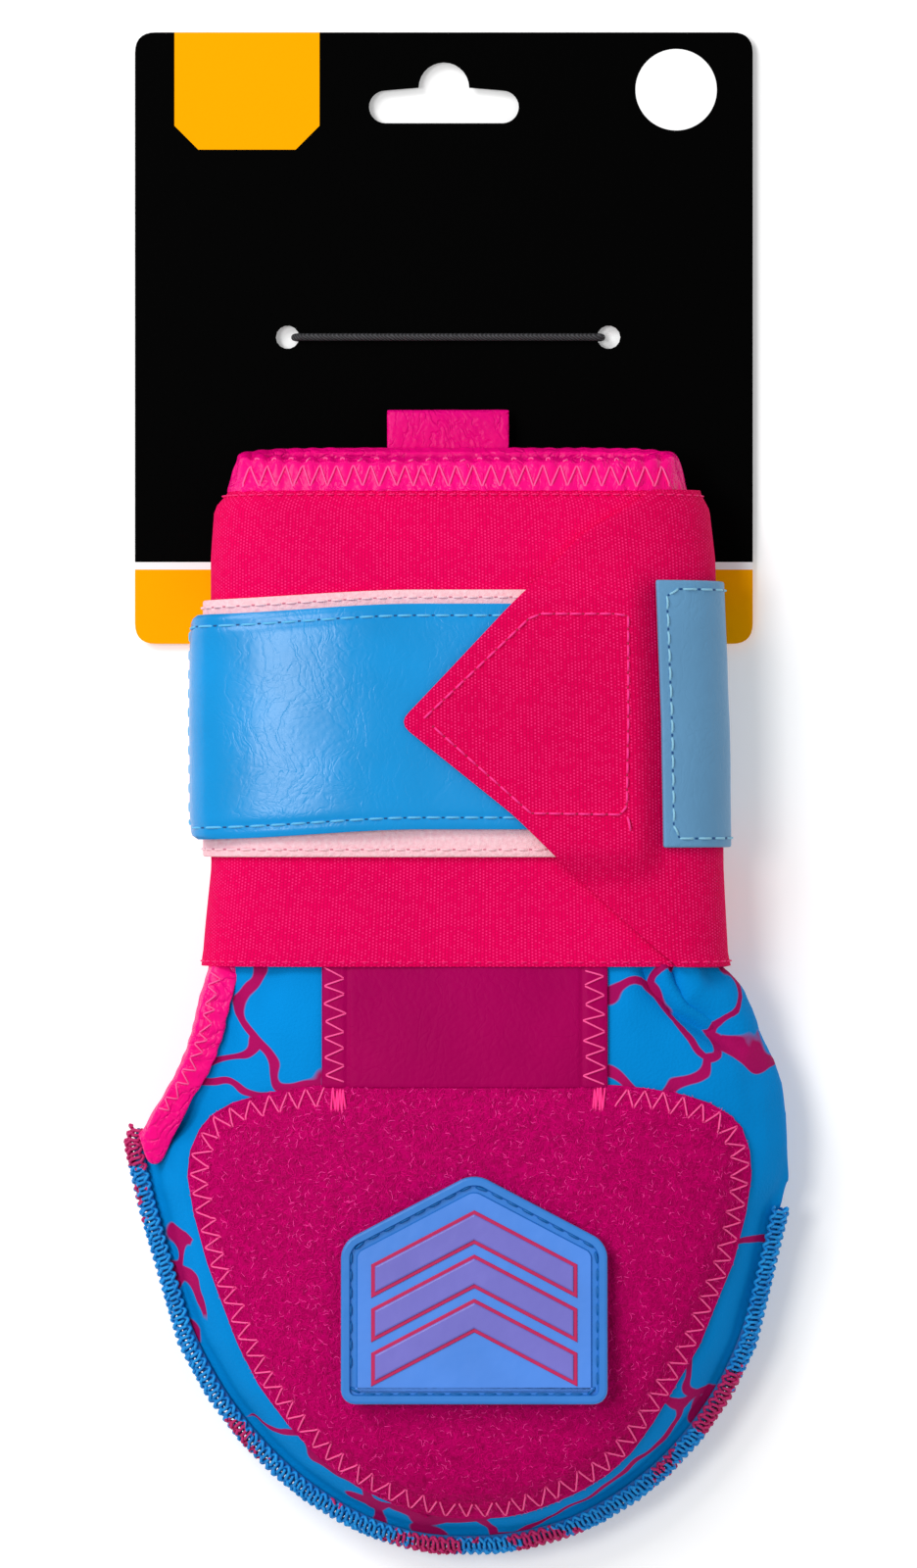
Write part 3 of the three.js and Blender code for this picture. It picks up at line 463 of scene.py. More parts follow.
def bump(tree, height, distance, strength=1.0):
    """A bump that feeds the material's shader."""
    node = tree.nodes.new("ShaderNodeBump")
    node.inputs["Strength"].default_value = strength
    node.inputs["Distance"].default_value = distance * MM
    tree.links.new(height, node.inputs["Height"])
    tree.links.new(node.outputs["Normal"], tree.nodes["Principled BSDF"].inputs["Normal"])
    return node


def mix_color(tree, factor, first, second):
    """A colour mix; first and second are sockets or colours."""
    node = tree.nodes.new("ShaderNodeMix")
    node.data_type = "RGBA"
    for socket, value in ((node.inputs[0], factor), (node.inputs[6], first), (node.inputs[7], second)):
        if isinstance(value, (int, float, tuple)):
            socket.default_value = value
        else:
            tree.links.new(value, socket)
    return node.outputs[2]


print("node helpers ready")

# %% Shared effects
def tone_group():
    """Slow change of tone: Color comes out a little lighter and darker by turns."""
    tree, enter, leave = group(
        "slow_tone",
        [("Color", "NodeSocketColor", (1, 1, 1, 1)), ("Scale", "NodeSocketFloat", 40.0),
         ("Depth", "NodeSocketFloat", 0.15)],
        [("Color", "NodeSocketColor")])
    place = add_node(tree, "ShaderNodeTexCoord")
    cloud = add_node(tree, "ShaderNodeTexNoise", Detail=3.0)
    tree.links.new(place.outputs["Object"], cloud.inputs["Vector"])
    tree.links.new(enter.outputs["Scale"], cloud.inputs["Scale"])
    centred = math_node(tree, "SUBTRACT", cloud.outputs["Fac"], 0.5)
    swing = math_node(tree, "MULTIPLY", centred, enter.outputs["Depth"])
    value = math_node(tree, "ADD", math_node(tree, "MULTIPLY", swing, 4.0), 1.0)
    tint = add_node(tree, "ShaderNodeHueSaturation")
    tree.links.new(enter.outputs["Color"], tint.inputs["Color"])
    tree.links.new(value, tint.inputs["Value"])
    tree.links.new(tint.outputs["Color"], leave.inputs["Color"])
    return tree


def weave_group():
    """Woven rib on the cloth's own UV map, whose unit is the metre: Height and Groove."""
    tree, enter, leave = group(
        "woven_rib",
        [("Ribs", "NodeSocketFloat", 1000.0), ("Picks", "NodeSocketFloat", 1000.0)],
        [("Height", "NodeSocketFloat"), ("Groove", "NodeSocketFloat")])
    place = add_node(tree, "ShaderNodeUVMap", uv_map="cut")
    parts = add_node(tree, "ShaderNodeSeparateXYZ")
    tree.links.new(place.outputs["UV"], parts.inputs[0])
    rib_place = math_node(tree, "MULTIPLY", parts.outputs["X"], enter.outputs["Ribs"])
    pick_place = math_node(tree, "MULTIPLY", parts.outputs["Y"], enter.outputs["Picks"])
    every_other = math_node(tree, "MULTIPLY", math_node(tree, "FLOOR", rib_place), 0.5)
    rib_turn = math_node(tree, "MULTIPLY", rib_place, math.pi)
    rib = math_node(tree, "ABSOLUTE", math_node(tree, "SINE", rib_turn))
    shifted = math_node(tree, "ADD", pick_place, every_other)
    pick = math_node(tree, "ABSOLUTE", math_node(tree, "SINE", math_node(tree, "MULTIPLY", shifted, math.pi)))
    crown = math_node(tree, "POWER", rib, 0.5)
    height = math_node(tree, "MULTIPLY", crown, math_node(tree, "POWER", pick, 0.4))
    tree.links.new(height, leave.inputs["Height"])
    tree.links.new(math_node(tree, "SUBTRACT", 1.0, height), leave.inputs["Groove"])
    return tree


def leather_group():
    """Coated leather: fine pebble and a net of long creases, as one Height."""
    tree, enter, leave = group(
        "coated_leather",
        [("Pebble", "NodeSocketFloat", 900.0), ("Crease", "NodeSocketFloat", 130.0),
         ("Crease depth", "NodeSocketFloat", 0.6), ("Streak", "NodeSocketFloat", 0.0)],
        [("Height", "NodeSocketFloat")])
    place = add_node(tree, "ShaderNodeTexCoord")
    warp = add_node(tree, "ShaderNodeTexNoise", Scale=60.0, Detail=4.0)
    tree.links.new(place.outputs["Object"], warp.inputs["Vector"])
    bend = add_node(tree, "ShaderNodeVectorMath", operation="MULTIPLY_ADD")
    bend.inputs[1].default_value = (0.02, 0.02, 0.02)
    tree.links.new(warp.outputs["Color"], bend.inputs[0])
    tree.links.new(place.outputs["Object"], bend.inputs[2])
    net = add_node(tree, "ShaderNodeTexVoronoi", feature="DISTANCE_TO_EDGE")
    tree.links.new(bend.outputs[0], net.inputs["Vector"])
    tree.links.new(enter.outputs["Crease"], net.inputs["Scale"])
    valley = math_node(tree, "MINIMUM", math_node(tree, "MULTIPLY", net.outputs["Distance"], 8.0), 1.0)
    fade = add_node(tree, "ShaderNodeTexNoise", Scale=45.0, Detail=1.0)
    tree.links.new(place.outputs["Object"], fade.inputs["Vector"])
    shown = math_node(tree, "GREATER_THAN", fade.outputs["Fac"], 0.45)
    crease = math_node(tree, "MULTIPLY", math_node(tree, "SUBTRACT", valley, 1.0), shown)
    pebble = add_node(tree, "ShaderNodeTexVoronoi", feature="SMOOTH_F1")
    tree.links.new(place.outputs["Object"], pebble.inputs["Vector"])
    tree.links.new(enter.outputs["Pebble"], pebble.inputs["Scale"])
    deep = math_node(tree, "MULTIPLY", crease, enter.outputs["Crease depth"])
    fine = math_node(tree, "MULTIPLY", pebble.outputs["Distance"], -0.35)
    long_way = add_node(tree, "ShaderNodeVectorMath", operation="MULTIPLY")
    long_way.inputs[1].default_value = (1.0, 0.2, 1.0)
    tree.links.new(bend.outputs[0], long_way.inputs[0])
    grain = add_node(tree, "ShaderNodeTexNoise", Scale=330.0, Detail=2.0)
    tree.links.new(long_way.outputs[0], grain.inputs["Vector"])
    ridge = math_node(tree, "ABSOLUTE", math_node(tree, "SUBTRACT", grain.outputs["Fac"], 0.5))
    line = math_node(tree, "MINIMUM", math_node(tree, "MULTIPLY", ridge, 14.0), 1.0)
    streak = math_node(tree, "MULTIPLY", math_node(tree, "SUBTRACT", line, 1.0), enter.outputs["Streak"])
    surface = math_node(tree, "ADD", math_node(tree, "ADD", deep, fine), streak)
    tree.links.new(surface, leave.inputs["Height"])
    return tree


SLOW_TONE = tone_group()
WOVEN_RIB = weave_group()
COATED_LEATHER = leather_group()
print("shared effects", len(bpy.data.node_groups))

# %% [markdown]
# Now the finishes. The elastic is a dull woven rib. The bindings, the strap, the label and the strip are
# coated leather with a soft gloss. The neoprene is a fine knit with a printed crackle of its own layout.

# %% Cloth and leather finishes
def elastic_finish(name, color, groove):
    """Woven elastic: ribs across the band, with painted shade between them and a painted highlight speck on the
    raised tops of some threads.
    """
    material, shader = new_material(name, color, 0.85)
    tree = material.node_tree
    weave = use_group(tree, WOVEN_RIB, Ribs=1380.0, Picks=1480.0)
    tone = use_group(tree, SLOW_TONE, Color=color, Scale=30.0, Depth=0.06)
    # Painted shade: the colour darkens towards the groove colour where the weave is low, between the ribs.
    deep = math_node(tree, "MULTIPLY", math_node(tree, "POWER", weave.outputs["Groove"], 1.5), 0.6)
    shade = mix_color(tree, deep, tone.outputs[0], groove)
    place = add_node(tree, "ShaderNodeTexCoord")
    patchy = add_node(tree, "ShaderNodeTexNoise", Scale=800.0, Detail=1.0)
    tree.links.new(place.outputs["Object"], patchy.inputs["Vector"])
    # Painted highlight: a light pink speck on the raised tops of some threads.
    raised = math_node(tree, "GREATER_THAN", weave.outputs["Height"], 0.9)
    painted_speck_highlight = math_node(tree, "MULTIPLY", raised, math_node(tree, "GREATER_THAN", patchy.outputs["Fac"], 0.47))
    shade = mix_color(tree, math_node(tree, "MULTIPLY", painted_speck_highlight, 0.62), shade, paint(255, 60, 140))
    tree.links.new(shade, shader.inputs["Base Color"])
    shader.inputs["Specular IOR Level"].default_value = 0.05
    bump(tree, weave.outputs["Height"], 0.09)
    return material


def leather_finish(name, color, roughness, crease, depth, gloss, streak=0.0, relief=0.25):
    """Coated leather with pebble, creases and long streaks."""
    material, shader = new_material(name, color, roughness)
    tree = material.node_tree
    tone = use_group(tree, SLOW_TONE, Color=color, Scale=50.0, Depth=0.08)
    tree.links.new(tone.outputs[0], shader.inputs["Base Color"])
    skin = use_group(tree, COATED_LEATHER, Crease=crease, Streak=streak, **{"Crease depth": depth})
    shader.inputs["Specular IOR Level"].default_value = gloss
    bump(tree, skin.outputs["Height"], relief)
    return material


def thread_finish(name, color):
    """Sewing thread: a soft gloss and a fine twist."""
    material, shader = new_material(name, color, 0.55)
    tree = material.node_tree
    place = add_node(tree, "ShaderNodeTexCoord")
    fuzz = add_node(tree, "ShaderNodeTexNoise", Scale=3500.0, Detail=2.0)
    tree.links.new(place.outputs["Object"], fuzz.inputs["Vector"])
    shader.inputs["Specular IOR Level"].default_value = 0.35
    bump(tree, fuzz.outputs["Fac"], 0.08)
    return material


# The second colour given to each elastic is the painted shade between its ribs.
pink_elastic = elastic_finish("pink_elastic", paint(236, 0, 90), paint(176, 0, 62))
# The flap's elastic is the band's elastic painted a little darker, as painted shade.
shaded_flap_elastic = elastic_finish("shaded_flap_elastic", paint(228, 0, 84), paint(166, 0, 58))
pink_leather = leather_finish("pink_leather", paint(244, 0, 126), 0.3, 260.0, 0.6, 0.14, 0.3)
blue_leather = leather_finish("blue_leather", paint(0, 142, 212), 0.27, 420.0, 0.14, 0.34, 0.3, 0.055)
pale_leather = leather_finish("pale_leather", paint(100, 152, 192), 0.4, 300.0, 0.3, 0.1, 0.2, 0.12)
dark_leather = leather_finish("dark_leather", paint(160, 0, 82), 0.5, 260.0, 0.12, 0.03, 0.1)
tab_leather = leather_finish("tab_leather", paint(228, 0, 122), 0.35, 200.0, 0.15, 0.08, 0.5)
pink_thread = thread_finish("pink_thread", paint(252, 44, 140))
hem_thread = thread_finish("hem_thread", paint(244, 22, 116))
pale_thread = thread_finish("pale_thread", paint(255, 84, 158))
blue_thread = thread_finish("blue_thread", paint(0, 98, 172))
# Painted shade of the needle holes: the dark thread ends between straight stitches, in blue and in crimson.
needle_hole_shade_blue = thread_finish("needle_hole_shade_blue", paint(0, 70, 128))
needle_hole_shade_crimson = thread_finish("needle_hole_shade_crimson", paint(168, 0, 66))
sky_thread = thread_finish("sky_thread", paint(92, 184, 232))
print("finishes", len(bpy.data.materials))

# %% Neoprene with its printed crackle
def neoprene_finish():
    """Blue knit face with wandering crimson cracks that fade in and out."""
    material, shader = new_material("neoprene_print", paint(1, 141, 222), 0.72)
    tree = material.node_tree
    place = add_node(tree, "ShaderNodeTexCoord")
    warp = add_node(tree, "ShaderNodeTexNoise", Scale=58.0, Detail=1.6)
    tree.links.new(place.outputs["Object"], warp.inputs["Vector"])
    bend = add_node(tree, "ShaderNodeVectorMath", operation="MULTIPLY_ADD")
    bend.inputs[1].default_value = (0.026, 0.026, 0.026)
    tree.links.new(warp.outputs["Color"], bend.inputs[0])
    tree.links.new(place.outputs["Object"], bend.inputs[2])
    net = add_node(tree, "ShaderNodeTexVoronoi", feature="DISTANCE_TO_EDGE", Scale=25.0)
    tree.links.new(bend.outputs[0], net.inputs["Vector"])
    swell = add_node(tree, "ShaderNodeTexNoise", Scale=110.0, Detail=1.0)
    tree.links.new(place.outputs["Object"], swell.inputs["Vector"])
    fade = add_node(tree, "ShaderNodeTexNoise", Scale=30.0, Detail=0.0)
    tree.links.new(place.outputs["Object"], fade.inputs["Vector"])
    room = math_node(tree, "MULTIPLY", math_node(tree, "SUBTRACT", fade.outputs["Fac"], 0.36), 1.2)
    full = math_node(tree, "MULTIPLY_ADD", swell.outputs["Fac"], 0.02, 0.024)
    width = math_node(tree, "MINIMUM", room, full)
    inside = math_node(tree, "SUBTRACT", width, net.outputs["Distance"])
    crack = math_node(tree, "MULTIPLY", math_node(tree, "ADD", inside, 0.004), 110.0)
    crack = math_node(tree, "MINIMUM", math_node(tree, "MAXIMUM", crack, 0.0), 1.0)
    blue = use_group(tree, SLOW_TONE, Color=paint(0, 134, 210), Scale=35.0, Depth=0.08)
    crimson = mix_color(tree, swell.outputs["Fac"], paint(146, 10, 86), paint(186, 14, 98))
    shade = mix_color(tree, crack, blue.outputs[0], crimson)
    tree.links.new(shade, shader.inputs["Base Color"])
    knit = add_node(tree, "ShaderNodeTexVoronoi", Scale=1500.0)
    tree.links.new(place.outputs["Object"], knit.inputs["Vector"])
    bump(tree, knit.outputs["Distance"], 0.1, 0.6)
    shader.inputs["Specular IOR Level"].default_value = 0.04
    return material


neoprene_print = neoprene_finish()
print("neoprene ready")

# %% [markdown]
# The padded body starts from its CAD solid. Its loose triangles are merged, rebuilt as even small faces and
# smoothed, as foam under cloth has no hard edges. The band gathers the cloth, so short puckers run out of it.

# %% Padded body
TOE_MIDDLE = 2.2
LEFT_DRAW = (0.034, 80, 100, 0.010)  # share drawn in, where that begins and is full, and more at the tip
RIGHT_DRAW = (0.029, 80, 100, 0.025)
WAIST_DRAW = 0.016  # share by which the elastic squeezes the wrist
WAIST_ROW = -15.0


def drawn_in(x, y):
    """Where a point goes across, as soft foam is a little slimmer at the finger end and under the elastic."""
    draw, begins, full, tip = LEFT_DRAW if x < TOE_MIDDLE else RIGHT_DRAW
    share = draw * ease(-y, begins, full) + tip * min(max((-y - 89) / 53, 0), 1)
    share += WAIST_DRAW * math.exp(-(((y - WAIST_ROW) / 14) ** 2))
    return x - (x - TOE_MIDDLE) * share


def merged_copy(node):
    """A bmesh copy of a CAD solid, its loose triangles joined and its sides drawn in."""
    shape = bmesh.new()
    shape.from_mesh(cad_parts[node].data)
    bmesh.ops.remove_doubles(shape, verts=shape.verts, dist=1e-6)
    for vert in shape.verts:
        vert.co.x = drawn_in(vert.co.x / MM, vert.co.y / MM) * MM
    return shape


def rebuilt(shape, voxel):
    """The shape rebuilt as even faces by a voxel remesh, which is applied."""
    mesh = bpy.data.meshes.new("rebuild")
    shape.to_mesh(mesh)
    shape.free()
    holder = bpy.data.objects.new("rebuild", mesh)
    bpy.context.scene.collection.objects.link(holder)
    remesh = holder.modifiers.new("remesh", "REMESH")
    remesh.mode = "VOXEL"
    remesh.voxel_size = voxel * MM
    made = bmesh.new()
    made.from_object(holder, bpy.context.evaluated_depsgraph_get())
    bpy.data.objects.remove(holder)
    bpy.data.meshes.remove(mesh)
    return made


def smoothed(shape, times, factor=0.5):
    """Smooth every point towards its neighbours."""
    for _ in range(times):
        bmesh.ops.smooth_vert(
            shape, verts=shape.verts, factor=factor, use_axis_x=True, use_axis_y=True, use_axis_z=True)
    return shape


BAND_FOOT = -37.4
FOLD_LINE = ((41.5, -35.0), (43.4, -41.2), (45.8, -45.2), (50.5, -48.4), (54.8, -51.8), (60.0, -55.2))


def fold_at(x, y):
    """Distance to the deep fold, positive on its outer side, and how far along the fold, from 0 to 1."""
    spot = Vector((x, y))
    nearest = (1000.0, 0.0)
    for number, (start, end) in enumerate(zip(FOLD_LINE, FOLD_LINE[1:])):
        run = Vector(end) - Vector(start)
        share = min(max((spot - Vector(start)).dot(run) / run.length_squared, 0), 1)
        off = spot - Vector(start) - run * share
        if off.length < abs(nearest[0]):
            side = 1 if run.x * off.y > run.y * off.x else -1
            nearest = (side * off.length, (number + share) / (len(FOLD_LINE) - 1))
    return nearest


def fold_depth(x, y):
    """The deep fold: a valley with a lobe that leans over it from outside."""
    off, along = fold_at(x, y)
    steep = 1.3 if off > 0 else 3.2
    lobe = 2.8 * math.exp(-(((off - 4.4) / 2.6) ** 2))
    return (1 - along) ** 0.5 * (lobe - 5.0 * math.exp(-((off / steep) ** 2)))


SIDE_SWELL = 0.3
SIDE_BULGES = ((-40, 2.0, 6), (-62, 0.8, 8), (-83, 0.9, 7))  # row, height and width of each, on the far side

body_shape = smoothed(rebuilt(merged_copy("padded_body"), 1.3), 4)
body_shape.normal_update()
for vert in body_shape.verts:
    x, y, z = vert.co / MM
    if y > BAND_FOOT + 1 or z < 0.4:
        continue
    near_band = ease(y, BAND_FOOT - 24, BAND_FOOT - 1)
    side = ease(abs(x), 26, 46)
    pucker = near_band * side * 0.6 * math.sin(x * 0.55 + y * 0.12 + wave(x, y, 0, 20) * 3)
    fold = fold_depth(x, y) * ease(z, 9, 15) if x > 30 else 0
    soft = 0.3 * wave(x, y, z, 19)
    vert.co += vert.normal * (min(pucker, 0.25) + fold + soft - 0.15) * MM
    bulge = SIDE_SWELL + sum(high * math.exp(-(((y - row) / wide) ** 2)) for row, high, wide in SIDE_BULGES)
    closed = 3.0 * math.exp(-(((x + 45.5) / 3.2) ** 2) - ((y + 38.5) / 4) ** 2) * ease(z, 14, 16)
    vert.co.x += (bulge * ease(x, 38, 54) - closed) * MM
for vert in body_shape.verts:
    vert.co.z = max(vert.co.z, 0.0)
body_shape.normal_update()
skin = BVHTree.FromBMesh(body_shape)
print("body faces", len(body_shape.faces))
padded_body = make_piece("padded_hand", body_shape, neoprene_print, ["padded_body"])


def on_hand(spot, lift=0.0):
    """Point on the back of the hand above or below a flat spot, and the way out. All in mm."""
    hit, normal, _, _ = skin.ray_cast(Vector((spot[0], spot[1], 60)) * MM, Vector((0, 0, -1)))
    if hit is None:
        return Vector((spot[0], spot[1], 10)), Vector((0, 0, 1))
    return hit / MM + normal * lift, normal


# %% [markdown]
# The pile panel is cut with a straight top, round shoulders and a long rounded toe. Its grid is squeezed to
# that outline and laid on the hand. It is thinner at the border, where the zigzag presses it down.

# %% Pile panel outline
PANEL_SIDES = (  # along, left edge, right edge, in mm
    (-154.0, 1.0, 4.2),
    (-153.7, -3.2, 9.6),
    (-152.5, -9.1, 15.2),
    (-150.4, -14.6, 20.4),
    (-147.8, -20.0, 26.0),
    (-144.6, -25.0, 31.2),
    (-139.8, -30.6, 36.4),
    (-133.6, -36.2, 40.8),
    (-125.6, -42.2, 45.6),
    (-117.0, -46.6, 50.8),
    (-107.6, -50.2, 54.6),
    (-99.6, -53.2, 58.0),
    (-89.6, -55.9, 60.5),
    (-81.6, -57.2, 61.6),
    (-76.2, -56.6, 61.2),
    (-71.6, -54.6, 59.6),
    (-68.6, -52.0, 57.0),
    (-66.0, -47.6, 52.6),
    (-64.0, -41.0, 46.4),
    (-62.8, -34.4, 39.4),
    (-62.1, -28.4, 32.6),
)
PANEL_TOE, PANEL_TOP = PANEL_SIDES[0][0], PANEL_SIDES[-1][0]


def panel_edges(y):
    """Left and right edge of the panel at a distance along it."""
    for low, high in zip(PANEL_SIDES, PANEL_SIDES[1:]):
        if y <= high[0]:
            share = max((y - low[0]) / (high[0] - low[0]), 0)
            return low[1] + (high[1] - low[1]) * share, low[2] + (high[2] - low[2]) * share
    return PANEL_SIDES[-1][1:]


def rounded_line(points, times=3):
    """A line with its corners cut again and again until it is smooth."""
    line = [Vector((p[0], p[1], 0)) for p in points]
    for _ in range(times):
        cut_line = [line[0]]
        for a, b in zip(line, line[1:]):
            cut_line += [a.lerp(b, 0.25), a.lerp(b, 0.75)]
        line = cut_line + [line[-1]]
    return line


def with_corners(corners, radius):
    """A closed line through the corners, each cut round by a radius."""
    line = []
    spots = [Vector((p[0], p[1], 0)) for p in corners]
    for i, here in enumerate(spots):
        start = here + (spots[i - 1] - here).normalized() * radius
        end = here + (spots[(i + 1) % len(spots)] - here).normalized() * radius
        for k in range(5):
            t = k / 4
            line.append(start * (1 - t) ** 2 + here * 2 * t * (1 - t) + end * t**2)
    return line + [line[0]]


def moved_in(line, distance):
    """A line moved to its left by a distance."""
    moved = []
    for i, p in enumerate(line):
        run = (line[min(i + 1, len(line) - 1)] - line[max(i - 1, 0)]).normalized()
        moved.append(p + Vector((-run.y, run.x, 0)) * distance)
    return moved


panel_rim = rounded_line(
    [(left, y) for y, left, _ in reversed(PANEL_SIDES)] + [(right, y) for y, _, right in PANEL_SIDES], 2)
print("panel", round(PANEL_SIDES[13][2] - PANEL_SIDES[13][1], 1), "x", round(PANEL_TOP - PANEL_TOE, 1), "mm")

# %% Pile panel
def pile_finish():
    """Brushed pile: deep magenta with a slow random change of tone, and painted shade where its tufts are low."""
    material, shader = new_material("pile", paint(196, 4, 104), 0.9)
    tree = material.node_tree
    place = add_node(tree, "ShaderNodeTexCoord")
    tuft = add_node(tree, "ShaderNodeTexNoise", Scale=620.0, Detail=3.0)
    tree.links.new(place.outputs["Object"], tuft.inputs["Vector"])
    cloud = add_node(tree, "ShaderNodeTexNoise", Scale=75.0, Detail=2.0)
    tree.links.new(place.outputs["Object"], cloud.inputs["Vector"])
    # Painted shade: the colour is darker where the tuft bump is low.
    light = mix_color(tree, tuft.outputs["Fac"], paint(146, 0, 70), paint(214, 0, 114))
    shade = mix_color(tree, math_node(tree, "MULTIPLY", cloud.outputs["Fac"], 0.35), light, paint(176, 0, 86))
    tree.links.new(shade, shader.inputs["Base Color"])
    shader.inputs["Specular IOR Level"].default_value = 0.05
    bump(tree, tuft.outputs["Fac"], 0.5)
    return material


pile = pile_finish()
PANEL_BED = 1.0
PANEL_RISE = 1.2
rim_spots = walk(panel_rim, 2.0)


def edge_distance(x, y):
    """Distance from a flat spot to the panel's edge."""
    return min(min((Vector((x, y, 0)) - spot).length for spot in rim_spots), PANEL_TOP - y)


def panel_place(u, v):
    """Where a point of the panel's grid goes on the hand."""
    y = PANEL_TOE + (PANEL_TOP - PANEL_TOE) * (1 - math.cos(math.pi * v)) / 2
    left, right = panel_edges(y)
    x = left + (right - left) * (1 - math.cos(math.pi * u)) / 2
    point, normal = on_hand((x, y))
    lift = PANEL_BED + PANEL_RISE * ease(edge_distance(x, y), 2.0, 6.5) + 0.12 * wave(x, y, 0, 6)
    return Vector((x, y, point.z + lift / max(normal.z, 0.45)))


panel_shape = cloth_grid(100, 90, panel_place, lambda u, v: (u * 0.118, v * 0.092))
bmesh.ops.remove_doubles(panel_shape, verts=panel_shape.verts, dist=2e-5)
panel_shape.normal_update()
if sum(face.normal.z for face in panel_shape.faces) < 0:
    bmesh.ops.reverse_faces(panel_shape, faces=panel_shape.faces)
panel_skin = BVHTree.FromBMesh(panel_shape)
pile_panel = thicken(make_piece("brushed_panel", panel_shape, pile, ["pile_panel"]), 0.9, 0.3)


def on_panel(spot):
    """Point on the panel's face, and the way out, in mm."""
    hit, normal, _, _ = panel_skin.ray_cast(Vector((spot[0], spot[1], 60)) * MM, Vector((0, 0, -1)))
    if hit is None:
        return on_hand(spot, 1.0)
    return hit / MM, normal


print("panel faces", len(pile_panel.data.polygons))

# %% [markdown]
# The smooth strip runs from the panel to the band, between two columns of zigzag.

# %% Back strip
STRIP_HALF = 30.0
STRIP_MIDDLE = 1.2
STRIP_SEAM = 24.6
UNDER_PANEL, UNDER_BAND = 0.6, 1.0
STRIP_LENGTH = BAND_FOOT + UNDER_BAND - PANEL_TOP + UNDER_PANEL


def strip_place(u, v):
    """Where a point of the strip goes on the hand; a groove runs beside each sewn margin."""
    across = (u - 0.5) * 2 * STRIP_HALF
    y = PANEL_TOP - UNDER_PANEL + v * STRIP_LENGTH
    point, normal = on_hand((STRIP_MIDDLE + across, y))
    groove = -0.35 * math.exp(-(((abs(across) - STRIP_SEAM) / 0.5) ** 2))
    lift = 1.1 + 0.25 * ease(STRIP_HALF - abs(across), 0, 1.5) + groove + 0.1 * wave(across, y, 0, 9)
    return Vector((STRIP_MIDDLE + across, y, point.z + lift / max(normal.z, 0.45)))


strip_shape = cloth_grid(150, 26, strip_place, lambda u, v: (u * 0.06, v * STRIP_LENGTH * MM))
strip_shape.normal_update()
strip_skin = BVHTree.FromBMesh(strip_shape)
back_strip = make_piece("smooth_strip", strip_shape, dark_leather, ["back_strip"])
thicken(back_strip, 0.9)
print("strip", 2 * STRIP_HALF, "mm wide and", round(STRIP_LENGTH, 1), "mm long")

# %% [markdown]
# The elastic band is a ring of woven cloth. It goes once round, so its two ends are merged.

# %% Elastic band
BAND_OUT = 2.1
BAND_THICKNESS = 1.8
BAND_LIP = 0.9


def band_place(u, v):
    """Where a point of the band goes, u once round it and v along it."""
    y = BAND_FOOT + v * (BAND_TOP + BAND_LIP - BAND_FOOT)
    angle = angle_at((u - 0.5) * 2 * HALF_GIRTH)
    give = 0.25 * wave(u * 60, y, 3, 21) - 1.1 * ease(v, 0.955, 1.0) ** 2 - 0.3 * ease(1 - v, 0.98, 1.0)
    point, _ = around(angle, y, BAND_OUT + give)
    return point


band_shape = cloth_grid(220, 60, band_place, lambda u, v: (u * 2 * HALF_GIRTH * MM, v * 0.1))
bmesh.ops.remove_doubles(band_shape, verts=band_shape.verts, dist=2e-5)
band_shape.normal_update()
elastic_band = thicken(
    make_piece("wrist_band", band_shape, pink_elastic, ["elastic_band"]), BAND_THICKNESS, 0.5)
print("band", round(2 * HALF_GIRTH), "mm round")

# %% [markdown]
# The pale loop tape lies on the band and the strap lies on the tape. Both are grids wrapped round the wrist.
# The strap's free end has round corners, so each of its rows starts where the corner's circle says.

# %% Loop tape and strap
CLOSURE_ROW = 13.6
TAPE_HALF = 28.0
STRAP_HALF = 23.6
STRAP_ROW = 15.0
STRAP_CORNER = 7.5
STRAP_START, STRAP_END = -61.0, 35.0
STRAP_MARGIN = 2.5
STRAP_SAG = 2.2


def tape_finish():
    """Brushed loop tape: pale pink, matt, with a fine nap."""
    material, shader = new_material("pale_loop", paint(248, 190, 205), 0.95)
    tree = material.node_tree
    place = add_node(tree, "ShaderNodeTexCoord")
    nap = add_node(tree, "ShaderNodeTexNoise", Scale=1100.0, Detail=4.0)
    tree.links.new(place.outputs["Object"], nap.inputs["Vector"])
    shade = mix_color(tree, nap.outputs["Fac"], paint(240, 166, 180), paint(255, 224, 228))
    tree.links.new(shade, shader.inputs["Base Color"])
    shader.inputs["Specular IOR Level"].default_value = 0.1
    bump(tree, nap.outputs["Fac"], 0.35)
    return material


pale_loop = tape_finish()


def sag(distance, depth):
    """How far a row drops towards the left side of the wrist."""
    return depth * ease(-distance, 8, 56)


def tape_place(u, v):
    """Where a point of the loop tape goes."""
    distance = -80 + u * 115
    y = CLOSURE_ROW + (v - 0.5) * 2 * TAPE_HALF - sag(distance, 2.0) * v
    point, _ = around(angle_at(distance), y, 3.7 + 0.15 * wave(u * 60, y, 1, 8))
    return point


def strap_out(distance, y, edge):
    """How far out the strap's face is: it slopes evenly over the left of the wrist and thins at its edge."""
    swell = 0.3 + 0.7 * ease(-distance, 4, 20) - 0.95 * ease(-distance, 22, 42)
    swell += 1.4 * math.exp(-(((distance + 52) / 5) ** 2))
    channel = -0.25 * math.exp(-(((edge - STRAP_MARGIN) / 0.5) ** 2))
    puff = 0.3 * ease(edge, 0.0, 5) - 0.3 * (1 - ease(edge, 0.0, 1.5))
    return 5.9 + swell + puff + channel + 0.15 * wave(distance, y, 7, 14)


def strap_place(u, v):
    """Where a point of the strap goes, its left end cut with round corners."""
    y = STRAP_ROW + (v - 0.5) * 2 * STRAP_HALF
    into = max(STRAP_CORNER - min(v, 1 - v) * 2 * STRAP_HALF, 0)
    start = STRAP_START + STRAP_CORNER - math.sqrt(max(STRAP_CORNER**2 - into**2, 0))
    distance = start + u * (STRAP_END - start)
    edge = min(distance - start, min(v, 1 - v) * 2 * STRAP_HALF)
    point, _ = around(angle_at(distance), y - sag(distance, STRAP_SAG), strap_out(distance, y, edge))
    return point


